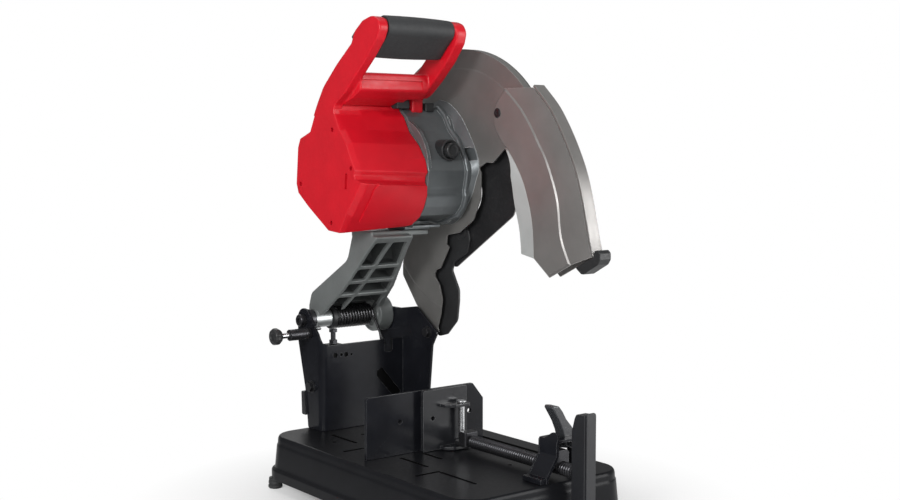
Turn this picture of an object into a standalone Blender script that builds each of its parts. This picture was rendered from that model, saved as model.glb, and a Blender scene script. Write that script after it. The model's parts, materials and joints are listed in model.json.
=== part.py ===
# Bench cut-off saw for metal: pressed steel base with vise and fence, a sprung
# swinging head with motor, gear case and D-handle, and a wheel guard with a
# hinged front visor.  No wheel and no battery pack are fitted.
# Lengths below are millimetres.  X runs to the operator's right, Y to the rear,
# Z up; heights written against the table are lifted by TABLE_Z.

import bpy
import bmesh
import math
from mathutils import Vector, Matrix

MM = 0.001

# ---------------------------------------------------------------- dimensions
TABLE_Z = 75.0                 # table above the floor
BASE_X = -4.0                  # middle of the base, across
BASE_W, BASE_L = 256.0, 443.0  # table plan at its edge
LIP_W, LIP_L = 272.0, 459.0    # outward lip at the foot of the wall
BASE_R = 35.0                  # plan corner radius
WALL_T = 2.5
LIP_TOP, LIP_BOT = -45.0, -60.0
FOOT_X, FOOT_Y, FOOT_R = 126.0, 209.0, 10.0

PIV_Y, PIV_Z = 228.0, 154.0    # head pivot axis, along X
SHAFT_R = 10.0
SPRING_R, SPRING_WIRE = 12.3, 1.65
HEAD_DOWN = 43.5               # degrees of head travel

SPN_Y, SPN_Z = 65.0, 339.0     # spindle axis, along X
GEAR_M, PINION_N, GEAR_N = 1.25, 12, 48
MESH_A = math.radians(43.3)
CENTRES = GEAR_M * (PINION_N + GEAR_N) / 2.0
MOT_Y = SPN_Y + CENTRES * math.cos(MESH_A)
MOT_Z = SPN_Z + CENTRES * math.sin(MESH_A)

CASE_Y, CASE_Z, CASE_R = 98.0, 370.0, 75.0   # barrel of gear case and motor
CASE_X0, CASE_X1 = 3.0, 70.0
CAP_X, SPLIT_X = -100.0, -62.0

WHEEL_X = 88.0                 # wheel plane
GUARD_R = 195.0
GUARD_IN, GUARD_OUT = 5.8, 7.8     # half widths of the upper guard
VISOR_IN, VISOR_OUT = 8.3, 10.0    # half widths of the visor
VIS_Y, VIS_Z = -27.0, 445.0        # visor hinge

GRIP_Y, GRIP_Z = 15.3, 542.7   # grip axis, along X
GRIP_W = 15.0                  # half width of the grip's oval
LEAN = (-0.735, 0.678)         # direction in which the handle leans, in YZ

SCREW_X, SCREW_Z, SCREW_R = 26.0, 13.5, 8.8   # vise screw, along Y
REL_X, REL_Z = 46.0, 42.0      # pivot of the release lever, along Y
FENCE_Y, FENCE_H = 7.0, 81.0
LOCK_Y, LOCK_Z = 212.0, 137.0  # head lock pin, along X

GAP = 0.3

# ---------------------------------------------------------------- scene reset
for old in list(bpy.data.objects):
    bpy.data.objects.remove(old, do_unlink=True)

MATS = {}


def material(name, rgb, rough, metal):
    if name not in MATS:
        m = bpy.data.materials.new(name)
        m.use_nodes = True
        b = m.node_tree.nodes["Principled BSDF"]
        b.inputs["Base Color"].default_value = (*rgb, 1.0)
        b.inputs["Roughness"].default_value = rough
        b.inputs["Metallic"].default_value = metal
        MATS[name] = m
    return MATS[name]


BLACK = ("black_paint", (0.022, 0.023, 0.026), 0.42, 0.0)
RED = ("red_plastic", (0.62, 0.012, 0.022), 0.42, 0.0)
RUBBER = ("black_rubber", (0.035, 0.036, 0.038), 0.8, 0.0)
CAST = ("cast_grey", (0.19, 0.2, 0.205), 0.45, 0.6)
SILVER = ("silver_guard", (0.3, 0.28, 0.275), 0.38, 0.7)
STEEL = ("bright_steel", (0.6, 0.6, 0.6), 0.25, 1.0)
DARK = ("dark_steel", (0.06, 0.06, 0.065), 0.4, 0.8)
COPPER = ("copper_winding", (0.45, 0.2, 0.1), 0.5, 0.5)
GREEN = ("circuit_board", (0.03, 0.12, 0.06), 0.6, 0.0)


def place(co):
    return Vector(((co[0] - BASE_X) * MM, co[1] * MM, (co[2] + TABLE_Z) * MM))


def finish(name, bm, mat, smooth=None):
    bmesh.ops.remove_doubles(bm, verts=bm.verts, dist=1e-7)
    bmesh.ops.recalc_face_normals(bm, faces=bm.faces)
    me = bpy.data.meshes.new(name)
    bm.to_mesh(me)
    bm.free()
    ob = bpy.data.objects.new(name, me)
    bpy.context.scene.collection.objects.link(ob)
    if mat:
        me.materials.append(material(*mat))
    if smooth:
        me.shade_smooth()
        me.set_sharp_from_angle(angle=math.radians(smooth))
    return ob


def at(axis, a, u, v):
    """Point with coordinate a along axis and (u, v) on the other two, in order."""
    if axis == "X":
        return (a, u, v)
    if axis == "Y":
        return (u, a, v)
    return (u, v, a)


def skin(name, rings, mat, closed_loop=False, caps=True, smooth=None):
    """Closed skin through rings of equal point count."""
    bm = bmesh.new()
    rows = [[bm.verts.new(place(p)) for p in ring] for ring in rings]
    n = len(rows[0])
    last = len(rows) if closed_loop else len(rows) - 1
    for i in range(last):
        a, b = rows[i], rows[(i + 1) % len(rows)]
        for k in range(n):
            bm.faces.new((a[k], a[(k + 1) % n], b[(k + 1) % n], b[k]))
    if caps and not closed_loop:
        bm.faces.new(rows[0])
        bm.faces.new(list(reversed(rows[-1])))
    return finish(name, bm, mat, smooth)


def prism(name, axis, pts, a0, a1, mat=None):
    return skin(name, [[at(axis, a0, *p) for p in pts],
                       [at(axis, a1, *p) for p in pts]], mat)


def box(name, x, y, z, mat=None):
    return prism(name, "X", [(y[0], z[0]), (y[1], z[0]), (y[1], z[1]), (y[0], z[1])],
                 x[0], x[1], mat)


def circle(cu, cv, r, n, phase=0.0):
    return [(cu + r * math.cos(phase + 2 * math.pi * k / n),
             cv + r * math.sin(phase + 2 * math.pi * k / n)) for k in range(n)]


def arc(cu, cv, r, a0, a1, n):
    return [(cu + r * math.cos(math.radians(a0 + (a1 - a0) * k / n)),
             cv + r * math.sin(math.radians(a0 + (a1 - a0) * k / n)))
            for k in range(n + 1)]


def rod(name, axis, c, steps, mat=None, n=24):
    """Solid of revolution; steps are (position along axis, radius)."""
    return skin(name, [[at(axis, a, *p) for p in circle(c[0], c[1], r, n)]
                       for a, r in steps], mat, smooth=40)


def tube(name, axis, c, a0, a1, r_in, r_out, mat=None, n=24):
    prof = [(a0, r_in), (a0, r_out), (a1, r_out), (a1, r_in)]
    return skin(name, [[at(axis, a, *p) for p in circle(c[0], c[1], r, n)]
                       for a, r in prof], mat, closed_loop=True, smooth=40)


def boolean(target, tool, op):
    m = target.modifiers.new("op", "BOOLEAN")
    m.operation = op
    m.object = tool
    m.solver = "EXACT"
    bpy.context.view_layer.update()
    dg = bpy.context.evaluated_depsgraph_get()
    made = bpy.data.meshes.new_from_object(target.evaluated_get(dg))
    old = target.data
    made.name = old.name
    target.modifiers.clear()
    target.data = made
    bpy.data.meshes.remove(old)
    bpy.data.objects.remove(tool, do_unlink=True)
    return target


def cut(target, *tools):
    for t in tools:
        boolean(target, t, "DIFFERENCE")
    return target


def join(target, *tools):
    for t in tools:
        boolean(target, t, "UNION")
    return target


def round_rect(w, l, r, z, n=5):
    pts = []
    for cx, cy, a in ((w / 2 - r, l / 2 - r, 0), (-w / 2 + r, l / 2 - r, 90),
                      (-w / 2 + r, -l / 2 + r, 180), (w / 2 - r, -l / 2 + r, 270)):
        for u, v in arc(cx, cy, r, a, a + 90, n):
            pts.append((u + BASE_X, v, z))
    return pts


def radial(poly, c, angles):
    """Polygon resampled on rays from c, so that two profiles can be joined."""
    out = []
    for a in angles:
        d = Vector((math.cos(a), math.sin(a)))
        best = None
        for i in range(len(poly)):
            p = Vector(poly[i]) - Vector(c)
            q = Vector(poly[(i + 1) % len(poly)]) - Vector(c)
            e = q - p
            den = d.x * e.y - d.y * e.x
            if abs(den) < 1e-9:
                continue
            t = (p.x * e.y - p.y * e.x) / den
            s = (p.x * d.y - p.y * d.x) / den
            if t > 0 and -1e-6 <= s <= 1 + 1e-6 and (best is None or t > best):
                best = t
        out.append((c[0] + best * d.x, c[1] + best * d.y))
    return out


def scaled(pts, c, f):
    return [(c[0] + (u - c[0]) * f, c[1] + (v - c[1]) * f) for u, v in pts]


def inset(pts, c, d):
    out = []
    for u, v in pts:
        w = Vector((u - c[0], v - c[1]))
        w = w * (1 - d / w.length)
        out.append((c[0] + w.x, c[1] + w.y))
    return out


def gear_outline(c, teeth, module, phase, back=0.3):
    """Straight-flanked teeth, thinned by the backlash."""
    r = module * teeth / 2
    pts = []
    for k in range(teeth):
        mid = phase + 2 * math.pi * k / teeth
        for side, h in ((-1, -1.12), (-1, 0.82), (1, 0.82), (1, -1.12)):
            rho = r + h * module
            half = (math.pi * module / 4 - back / 2) - h * module * math.tan(math.radians(21))
            a = mid + side * half / rho
            pts.append((c[0] + rho * math.cos(a), c[1] + rho * math.sin(a)))
    return pts


# ---------------------------------------------------------------- base
outer = [(LIP_W, LIP_L, 38.0, LIP_BOT), (LIP_W, LIP_L, 38.0, LIP_TOP - 2.0),
         (BASE_W + 8.5, BASE_L + 8.5, BASE_R + 2, LIP_TOP),
         (BASE_W + 1.0, BASE_L + 1.0, BASE_R, -4.5),
         (BASE_W - 1.0, BASE_L - 1.0, BASE_R - 1, -1.3),
         (BASE_W - 6.0, BASE_L - 6.0, BASE_R - 3, 0.0)]
inner = [(BASE_W - 9.0, BASE_L - 9.0, BASE_R - 4, -WALL_T),
         (BASE_W - 4.0, BASE_L - 4.0, BASE_R - 2, -5.0),
         (BASE_W + 3.5, BASE_L + 3.5, BASE_R, LIP_TOP - 1.0),
         (LIP_W - 5.0, LIP_L - 5.0, 35.5, LIP_TOP - 4.0),
         (LIP_W - 5.0, LIP_L - 5.0, 35.5, LIP_BOT)]


def pan():
    bm = bmesh.new()
    rows = [[bm.verts.new(place(p)) for p in round_rect(w, l, r, z)]
            for w, l, r, z in outer + inner]
    n = len(rows[0])
    top = len(outer) - 1
    for i in range(len(rows)):
        if i == top:
            continue
        a, b = rows[i], rows[(i + 1) % len(rows)]
        for k in range(n):
            bm.faces.new((a[k], a[(k + 1) % n], b[(k + 1) % n], b[k]))
    bm.faces.new(rows[top])
    bm.faces.new(list(reversed(rows[top + 1])))
    return finish("base_pan", bm, BLACK, 35)


base_pan = pan()
for sx in (1, -1):
    for sy in (1, -1):
        # corner plate that carries the foot
        cx, cy = BASE_X + sx * (LIP_W / 2 - 38.0), sy * (LIP_L / 2 - 38.0)
        a0 = {(1, 1): 0, (-1, 1): 90, (-1, -1): 180, (1, -1): 270}[(sx, sy)]
        pts = arc(cx, cy, 37.2, a0, a0 + 90, 5)
        join(base_pan, prism("corner", "Z", pts, LIP_BOT + 0.02, LIP_BOT + 2.5))
cut(base_pan, box("slot", (WHEEL_X - 7.0, WHEEL_X + 7.0), (-95.0, 55.0), (-20.0, 20.0)))

for tag, sx, sy in (("front_left", -1, -1), ("front_right", 1, -1),
                    ("rear_left", -1, 1), ("rear_right", 1, 1)):
    rod("foot_" + tag, "Z", (BASE_X + sx * FOOT_X, sy * FOOT_Y),
        [(-TABLE_Z, FOOT_R - 1.0), (-TABLE_Z + 1.5, FOOT_R), (LIP_BOT - GAP, FOOT_R - 1.2)],
        RUBBER, 20)

# ---------------------------------------------------------------- pivot bracket
ear_rear = [(219.0, GAP), (226.0, 56.0), (244.0, 123.0)] + arc(PIV_Y, PIV_Z, 17.0, -5, 140, 8)
left_ear = [(181.0, GAP)] + ear_rear + [(198.0, 149.0), (181.0, 121.0)]
right_ear = [(120.0, GAP)] + ear_rear + [(188.0, 165.0), (148.0, 171.0), (98.0, 138.0),
                                        (110.0, 119.0), (117.0, 56.0)]
bracket = prism("pivot_bracket", "Y", [(-70.0, GAP), (73.5, GAP), (73.5, 122.0), (51.0, 122.0),
                                       (51.0, 103.0), (37.0, 103.0), (37.0, 122.0), (-70.0, 122.0)],
                181.0, 184.5, BLACK)
join(bracket, prism("le", "X", left_ear, -70.0, -66.5),
     prism("re", "X", right_ear, 70.0, 73.5),
     box("fl", (-68.0, 72.0), (183.0, 214.0), (GAP, 3.8)),
     box("ledge", (-54.0, -32.0), (183.0, 202.0), (118.5, 121.9)))
cut(bracket, rod("h1", "X", (PIV_Y, PIV_Z), [(-80, 6.4), (80, 6.4)]),
    rod("h2", "X", (LOCK_Y, LOCK_Z), [(-80, 4.5), (-60, 4.5)], n=16),
    rod("h3", "Z", (-43.0, 193.0), [(100, 3.9), (130, 3.9)], n=16))

rod("pivot_shaft", "X", (PIV_Y, PIV_Z),
    [(-79.0, 5.0), (-78.0, 8.5), (-70.3, 8.5), (-70.3, 6.0), (-66.0, 6.0), (-66.0, SHAFT_R),
     (69.5, SHAFT_R), (69.5, 6.0), (81.0, 6.0), (82.0, 5.0)], STEEL, 20)
nut = prism("pivot_nut", "X", circle(PIV_Y, PIV_Z, 11.0, 6), 73.8, 80.5, STEEL)
cut(nut, rod("nh", "X", (PIV_Y, PIV_Z), [(70, 6.4), (85, 6.4)]))


def spring():
    turns, per, side = 12, 10, 5
    x0, x1 = -13.0, 40.0
    path = []
    for k in range(turns * per + 1):
        a = math.radians(180) + 2 * math.pi * k / per
        path.append(Vector((x0 + (x1 - x0) * k / (turns * per),
                            PIV_Y + SPRING_R * math.cos(a), PIV_Z + SPRING_R * math.sin(a))))
    # anchored leg, down into the notch of the web
    end = path[-1]
    for k in range(1, 5):
        path.append(Vector((end.x + 0.3 * k, end.y - 6.9 * k, end.z - 9.9 * k)))
    bm = bmesh.new()
    rows = []
    for i, p in enumerate(path):
        t = (path[min(i + 1, len(path) - 1)] - path[max(i - 1, 0)]).normalized()
        u = Vector((1, 0, 0))
        u = (u - t * u.dot(t)).normalized()
        v = t.cross(u)
        rows.append([bm.verts.new(place(p + SPRING_WIRE * (u * math.cos(2 * math.pi * k / side)
                                                          + v * math.sin(2 * math.pi * k / side))))
                     for k in range(side)])
    for a, b in zip(rows, rows[1:]):
        for k in range(side):
            bm.faces.new((a[k], a[(k + 1) % side], b[(k + 1) % side], b[k]))
    bm.faces.new(rows[0])
    bm.faces.new(list(reversed(rows[-1])))
    return finish("torsion_spring", bm, DARK, 60)


spring()

stop = rod("depth_stop_bolt", "Z", (-43.0, 193.0), [(108.0, 3.5), (139.0, 3.5)], STEEL, 16)
join(stop, prism("hd", "Z", circle(-43.0, 193.0, 6.4, 6), 138.5, 143.0),
     prism("jam", "Z", circle(-43.0, 193.0, 6.4, 6), 122.3, 127.3))

tube("lock_barrel", "X", (LOCK_Y, LOCK_Z), -104.0, -70.4, 4.5, 8.0, DARK, 20)
rod("lock_pin", "X", (LOCK_Y, LOCK_Z), [(-122.0, 4.0), (-70.0, 4.0), (-69.5, 3.0), (-67.0, 3.0), (-66.5, 2.4)], STEEL, 16)
knob = rod("lock_knob", "X", (LOCK_Y, LOCK_Z),
           [(-131.0, 7.5), (-130.0, 10.5), (-127.5, 12.0), (-122.5, 12.0), (-119.0, 9.5), (-118.0, 8.0)],
           RUBBER, 20)
cut(knob, rod("kb", "X", (LOCK_Y, LOCK_Z), [(-122.3, 4.3), (-100.0, 4.3)], n=16))

# ---------------------------------------------------------------- fence
fence = prism("fence", "Y", [(-112.0, GAP), (80.0, GAP), (80.0, 59.0), (62.0, FENCE_H),
                             (-109.0, FENCE_H), (-112.0, 78.0)], FENCE_Y, FENCE_Y + 5.0, BLACK)
join(fence, prism("ff", "Z", [(-100.0, FENCE_Y + 4), (70.0, FENCE_Y + 4), (60.0, 44.0),
                              (-90.0, 44.0)], GAP, 5.3))
for x in (-59.0, -14.0, 56.0):
    cut(fence, rod("fh", "Y", (x, 44.0), [(0, 3.2), (20, 3.2)], n=12))
for tag, x in (("left", -70.0), ("right", 34.0)):
    b = prism("fence_bolt_" + tag, "Z", circle(x, 29.0, 8.5, 6), 6.8, 13.5, STEEL)
    join(b, rod("w", "Z", (x, 29.0), [(5.6, 11.0), (7.2, 11.0)], n=20))

# ---------------------------------------------------------------- vise
shell = [(-6.5, GAP), (60.0, GAP), (60.0, 30.0), (52.0, 44.0), (46.0, 50.0), (10.6, 50.0), (10.6, 31.0), (-6.5, 6.0)]
inside = [(-3.2, -5.0), (57.0, -5.0), (57.0, 29.0), (49.5, 42.0), (44.5, 47.0), (13.4, 47.0), (13.4, 30.2), (-3.2, 5.2)]
vb = prism("vise_bracket", "Y", shell, -218.0, -185.0, BLACK)
cut(vb, prism("vi", "Y", inside, -230.0, -170.0),
    box("ls", (20.0, 80.0), (-207.0, -189.0), (31.0, 70.0)))
lug_plate = [(38.5, 33.0), (58.0, 29.0), (52.0, 43.0), (46.0, 49.0), (38.5, 48.5)]
join(vb, prism("p1", "Y", lug_plate, -217.5, -214.5), prism("p2", "Y", lug_plate, -188.4, -185.4),
     box("fp", (-16.0, -4.0), (-217.8, -185.2), (GAP, 7.0)),
     prism("cheek", "X", [(-217.9, 48.0), (-217.9, 59.0), (-208.0, 59.0), (-185.1, 49.0), (-185.1, 48.0)], 10.7, 13.3))
cut(vb, rod("ph", "Y", (REL_X, REL_Z), [(-225, 3.4), (-170, 3.4)], n=16))
rod("release_pin", "Y", (REL_X, REL_Z), [(-220.0, 3.0), (-183.0, 3.0)], STEEL, 12)
hn = prism("half_nut", "Y", [(14.0, 16.0), (35.0, 16.0), (35.0, 33.0), (32.0, 36.0), (17.0, 36.0), (14.0, 33.0)],
           -212.0, -189.0, STEEL)
cut(hn, rod("hb", "Y", (SCREW_X, SCREW_Z), [(-220, 9.4), (-175, 9.4)], n=32))
lever = prism("release_lever", "Y",
              [(39.0, 36.5), (46.0, 35.0), (52.0, 38.0), (53.5, 47.0), (47.0, 60.0), (37.0, 71.0),
               (30.0, 80.0), (22.0, 87.5), (15.0, 90.0), (12.5, 88.0), (19.0, 79.0), (25.5, 69.0),
               (31.0, 57.0), (34.0, 46.0), (35.5, 39.0)], -206.0, -190.0, BLACK)
cut(lever, rod("lh", "Y", (REL_X, REL_Z), [(-220, 3.4), (-170, 3.4)], n=12))

rod("vise_screw", "Y", (SCREW_X, SCREW_Z),
    [(-245.0, 6.0), (-233.0, 6.0), (-233.0, SCREW_R), (-37.5, SCREW_R), (-36.4, 8.4), (-36.4, 6.0),
     (-22.0, 6.0)], DARK, 24)
crank = prism("crank", "X", [(-260.0, -38.0), (-258.0, -41.0), (-241.0, -41.0), (-239.0, -36.0),
                             (-234.0, -18.0), (-234.0, 66.0), (-239.0, 84.0), (-241.0, 89.0),
                             (-258.0, 89.0), (-260.0, 86.0)], SCREW_X - 8.0, SCREW_X + 8.0, RUBBER)
cut(crank, rod("cb", "Y", (SCREW_X, SCREW_Z), [(-246.0, 6.3), (-230.0, 6.3)]))

yoke = box("jaw_yoke", (15.0, 37.0), (-36.0, -7.0), (6.0, 26.0), DARK)
cut(yoke, rod("yb", "Y", (SCREW_X, SCREW_Z), [(-40.0, 6.3), (-21.0, 6.3)]),
    rod("yp", "Z", (SCREW_X, -14.0), [(0, 4.4), (50, 4.4)], n=16))
rod("jaw_pin", "Z", (SCREW_X, -14.0), [(1.0, 4.0), (62.5, 4.0), (62.8, 6.0), (65.0, 6.0)], STEEL, 16)
jaw = prism("jaw_plate", "Y", [(-30.0, 1.0), (42.5, 1.0), (42.5, 80.0), (40.5, 82.0), (-28.0, 82.0),
                               (-30.0, 80.0)], -4.0, 1.0, BLACK)
for z0 in (1.5, 58.0):
    join(jaw, prism("je", "Z", [(14.0, -3.0), (14.0, -16.0), (18.0, -22.0), (34.0, -22.0),
                                (38.0, -16.0), (38.0, -3.0)], z0, z0 + 4.0))
cut(jaw, rod("jh", "Z", (SCREW_X, -14.0), [(-5, 4.4), (70, 4.4)], n=16))
cut(jaw, rod("jb", "Y", (-14.0, 44.0), [(-10, 3.2), (10, 3.2)], n=12))

# ---------------------------------------------------------------- arm
def right_x(z):
    t = min(1.0, max(0.0, (285.0 - z) / 120.0))
    return 3.0 + 42.0 * t


side = [(70.0, 281.0), (132.0, 281.0), (145.0, 245.0), (240.0, 191.0), (247.0, 172.0),
        (246.5, 154.0), (240.0, 140.0), (228.0, 135.5), (214.0, 142.0), (209.5, 154.0),
        (211.0, 163.0), (156.0, 203.0), (96.0, 259.0)]
arm = skin("arm", [[(-50.0, y, z) for y, z in side],
                   [(right_x(z) + 6.0, y, z) for y, z in side]], CAST)


def along(t, stops):
    """Point at t on a polyline given as (t, y, z) stops."""
    for (t0, y0, z0), (t1, y1, z1) in zip(stops, stops[1:]):
        if t <= t1:
            f = (t - t0) / (t1 - t0)
            return (y0 + (y1 - y0) * f, z0 + (z1 - z0) * f)
    return stops[-1][1:]


front_line = [(0.0, 56.0, 273.0), (0.4, 108.0, 226.0), (1.0, 190.0, 150.0)]
rear_line = [(0.0, 120.0, 281.0), (0.4, 134.0, 241.0), (1.0, 224.0, 190.0)]


def pocket(t0, t1, xl, xr):
    quad = [along(t0, front_line), along(t0, rear_line), along(t1, rear_line), along(t1, front_line)]
    return skin("pk", [[(xl(z), y, z) for y, z in quad], [(xr(z), y, z) for y, z in quad]], None)


left_in, rib_l, rib_r = (lambda z: -44.0), (lambda z: -21.0), (lambda z: -16.0)
for t0, t1 in ((0.04, 0.37), (0.43, 0.57), (0.61, 0.75), (0.79, 1.0)):
    cut(arm, pocket(t0, t1, left_in, rib_l), pocket(t0, t1, rib_r, right_x))
cut(arm, rod("sw", "X", (PIV_Y, PIV_Z), [(-44.0, 17.5), (46.0, 17.5)], n=28),
    box("low", (-44.0, 44.0), (205.0, 262.0), (120.0, 176.0)),
    box("lowl", (-52.0, -43.0), (200.0, 262.0), (120.0, 162.0)))
join(arm, rod("bl", "X", (PIV_Y, PIV_Z), [(-64.5, 15.0), (-56.0, 15.0), (-56.0, 12.5), (-23.0, 12.5)], n=28),
     rod("br", "X", (PIV_Y, PIV_Z), [(46.0, 26.0), (69.0, 26.0)], n=28),
     box("seat", (-50.0, 45.0), (66.0, 134.0), (280.0, 287.0)))
a = math.radians(math.degrees(math.atan2(LOCK_Z - PIV_Z, LOCK_Y - PIV_Y)) - HEAD_DOWN / 2)
lug = [(PIV_Y + r * math.cos(a + s), PIV_Z + r * math.sin(a + s))
       for r, s in ((15.5, -0.12), (26.5, -0.08), (26.5, 0.08), (15.5, 0.12))]
prism("lock_lug", "X", lug, -64.0, -56.0, STEEL)
cut(arm, rod("bore", "X", (PIV_Y, PIV_Z), [(-80, SHAFT_R + 0.45), (80, SHAFT_R + 0.45)], n=24))

# ---------------------------------------------------------------- gear case
CC = (CASE_Y, CASE_Z)
case = rod("gear_case", "X", CC, [(CASE_X0, CASE_R - 1.5), (CASE_X0 + 2, CASE_R), (CASE_X1 - 6, CASE_R),
                                  (CASE_X1, CASE_R - 5)], CAST, 36)
join(case, rod("boss", "X", (SPN_Y, SPN_Z), [(CASE_X1 - 5, 44.0), (WHEEL_X - GUARD_OUT - GAP, 44.0)], n=32),
     rod("lobe", "X", (SPN_Y, SPN_Z), [(8.0, 34.0), (10.0, 36.0), (CASE_X1 - 2, 36.0)], n=32),
     box("pad", (8.0, 45.0), (68.0, 128.0), (287.3, 302.0)))
cut(case, rod("cav", "X", CC, [(CASE_X0 - 5, CASE_R - 5), (61.0, CASE_R - 5)], n=36),
    rod("lcav", "X", (SPN_Y, SPN_Z), [(12.0, 32.6), (61.0, 32.6)], n=32),
    rod("sb", "X", (SPN_Y, SPN_Z), [(55.0, 15.3), (90.0, 15.3)]),
    rod("lb", "Y", (40.0, 396.0), [(0.0, 10.9), (45.0, 10.9)], n=20))

plate = rod("bearing_plate", "X", CC, [(3.5, 69.6), (8.5, 69.6)], CAST, 36)
join(plate, rod("s1", "X", (SPN_Y, SPN_Z), [(7.5, 14.0), (15.5, 14.0)], n=24),
     rod("s2", "X", (MOT_Y, MOT_Z), [(-6.0, 13.5), (5.0, 13.5)], n=24))
cut(plate, rod("b1", "X", (SPN_Y, SPN_Z), [(6.0, 11.3), (20.0, 11.3)]),
    rod("b2", "X", (MOT_Y, MOT_Z), [(-10.0, 11.3), (3.0, 11.3)]),
    rod("b3", "X", (MOT_Y, MOT_Z), [(-10.0, 9.5), (20.0, 9.5)]))

rod("spindle_lock_button", "Y", (40.0, 396.0),
    [(18.0, 8.0), (19.0, 10.2), (31.0, 10.2), (31.0, 4.0), (40.0, 4.0)], RUBBER, 20)

# ---------------------------------------------------------------- motor housing
SIDES = 30
angles = [2 * math.pi * (k + 0.5) / SIDES for k in range(SIDES)]
front_arc = arc(CASE_Y, CASE_Z, CASE_R, 97, 263, 14)
mid_poly = front_arc + [(114.0, 292.0), (164.0, 319.0), (190.0, 337.0), (195.0, 350.0), (190.0, 400.0),
                        (184.0, 412.0), (158.0, 421.0), (141.0, 455.0), (96.0, 455.0)]
end_poly = [(141.0, 455.0), (99.0, 454.0), (97.0, 443.0), (66.0, 407.0), (52.0, 400.0), (43.0, 372.0),
            (29.0, 353.0), (84.0, 288.0), (114.0, 290.0), (164.0, 319.0), (190.0, 337.0),
            (195.0, 350.0), (190.0, 400.0), (184.0, 412.0), (158.0, 421.0)]
mid = radial(mid_poly, CC, angles)
end = radial(end_poly, CC, angles)


def shape(pts, x):
    return [(x, y, z) for y, z in pts]


def blend(p, q, f):
    return [(a[0] + (b[0] - a[0]) * f, a[1] + (b[1] - a[1]) * f) for a, b in zip(p, q)]


wall = 4.0
house = skin("motor_housing", [shape(mid, SPLIT_X), shape(mid, 2.7)], RED)
hollow = inset(mid, CC, wall)
cut(house, skin("c1", [shape(hollow, SPLIT_X - 3), shape(hollow, -48.0)], None),
    skin("c2", [shape(hollow, -43.0), shape(hollow, -1.0)], None),
    rod("c3", "X", (MOT_Y, MOT_Z), [(-55.0, 34.4), (-40.0, 34.4)]),
    rod("c4", "X", CC, [(-5.0, 66.0), (6.0, 66.0)], n=36))

cap = skin("end_cap", [shape(scaled(end, CC, 0.97), CAP_X), shape(end, CAP_X + 3.0),
                       shape(blend(end, mid, 0.35), CAP_X + 18.0),
                       shape(mid, SPLIT_X - GAP - 8.0), shape(mid, SPLIT_X - GAP)], RED)
cut(cap, skin("ci", [shape(inset(end, CC, wall), CAP_X + 4.0),
                     shape(inset(blend(end, mid, 0.35), CC, wall), CAP_X + 18.0),
                     shape(inset(mid, CC, wall), SPLIT_X - GAP - 8.0),
                     shape(inset(mid, CC, wall), SPLIT_X + 3.0)], None))
join(cap, tube("bb", "X", (MOT_Y, MOT_Z), CAP_X + 2.0, -74.0, 11.3, 14.5))

# battery dock on the rear face: backing plate, two rails and a terminal block
dock = box("battery_dock", (-84.0, -14.0), (196.0, 201.0), (343.0, 413.0), RUBBER)
for x in (-84.0, -20.0):
    join(dock, prism("rail", "Z", [(x, 200.0), (x + 6.0, 200.0), (x + 6.0, 204.0),
                                   (x + (10.0 if x < -50 else 6.0), 204.0),
                                   (x + (10.0 if x < -50 else 6.0), 207.0),
                                   (x - (0.0 if x < -50 else 4.0), 207.0),
                                   (x - (0.0 if x < -50 else 4.0), 204.0), (x, 204.0)], 343.0, 413.0))
join(dock, box("term", (-62.0, -36.0), (200.0, 208.0), (352.0, 384.0)))
for x in (-57.0, -49.0, -41.0):
    cut(dock, box("tslot", (x - 1.0, x + 1.0), (203.0, 212.0), (358.0, 390.0)))
cut(dock, skin("seatcut", [shape(scaled(mid, CC, 1.004), -120.0), shape(scaled(mid, CC, 1.004), 20.0)], None))

box("motor_controller", (-40.0, -6.0), (142.0, 152.0), (335.0, 405.0), GREEN)

# ---------------------------------------------------------------- motor and train
MC, SC = (MOT_Y, MOT_Z), (SPN_Y, SPN_Z)
tube("stator", "X", MC, -54.0, -20.0, 21.0, 34.0, COPPER, 28)
rod("rotor", "X", MC, [(-92.0, 5.0), (-54.0, 5.0), (-54.0, 20.0), (-20.0, 20.0), (-20.0, 5.0), (31.5, 5.0)],
    STEEL, 24)
pin_phase = MESH_A + math.pi + math.pi / PINION_N
pinion = prism("pinion", "X", gear_outline(MC, PINION_N, GEAR_M, pin_phase), 18.0, 31.0, STEEL)
cut(pinion, rod("pb", "X", MC, [(10, 5.3), (40, 5.3)], n=24))
fan_pts = []
for k in range(11):
    for r, d in ((13.0, 0.0), (30.0, 0.10), (30.0, 0.30), (13.0, 0.36)):
        t = 2 * math.pi * k / 11 + d
        fan_pts.append((MOT_Y + r * math.cos(t), MOT_Z + r * math.sin(t)))
fan = prism("fan", "X", fan_pts, -17.0, -8.0, DARK)
cut(fan, rod("fb", "X", MC, [(-30, 5.3), (0, 5.3)], n=24))
tube("motor_bearing_front", "X", MC, -5.5, 2.5, 5.3, 11.0, STEEL, 24)
tube("motor_bearing_rear", "X", MC, -84.0, -75.0, 5.3, 11.0, STEEL, 24)

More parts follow.
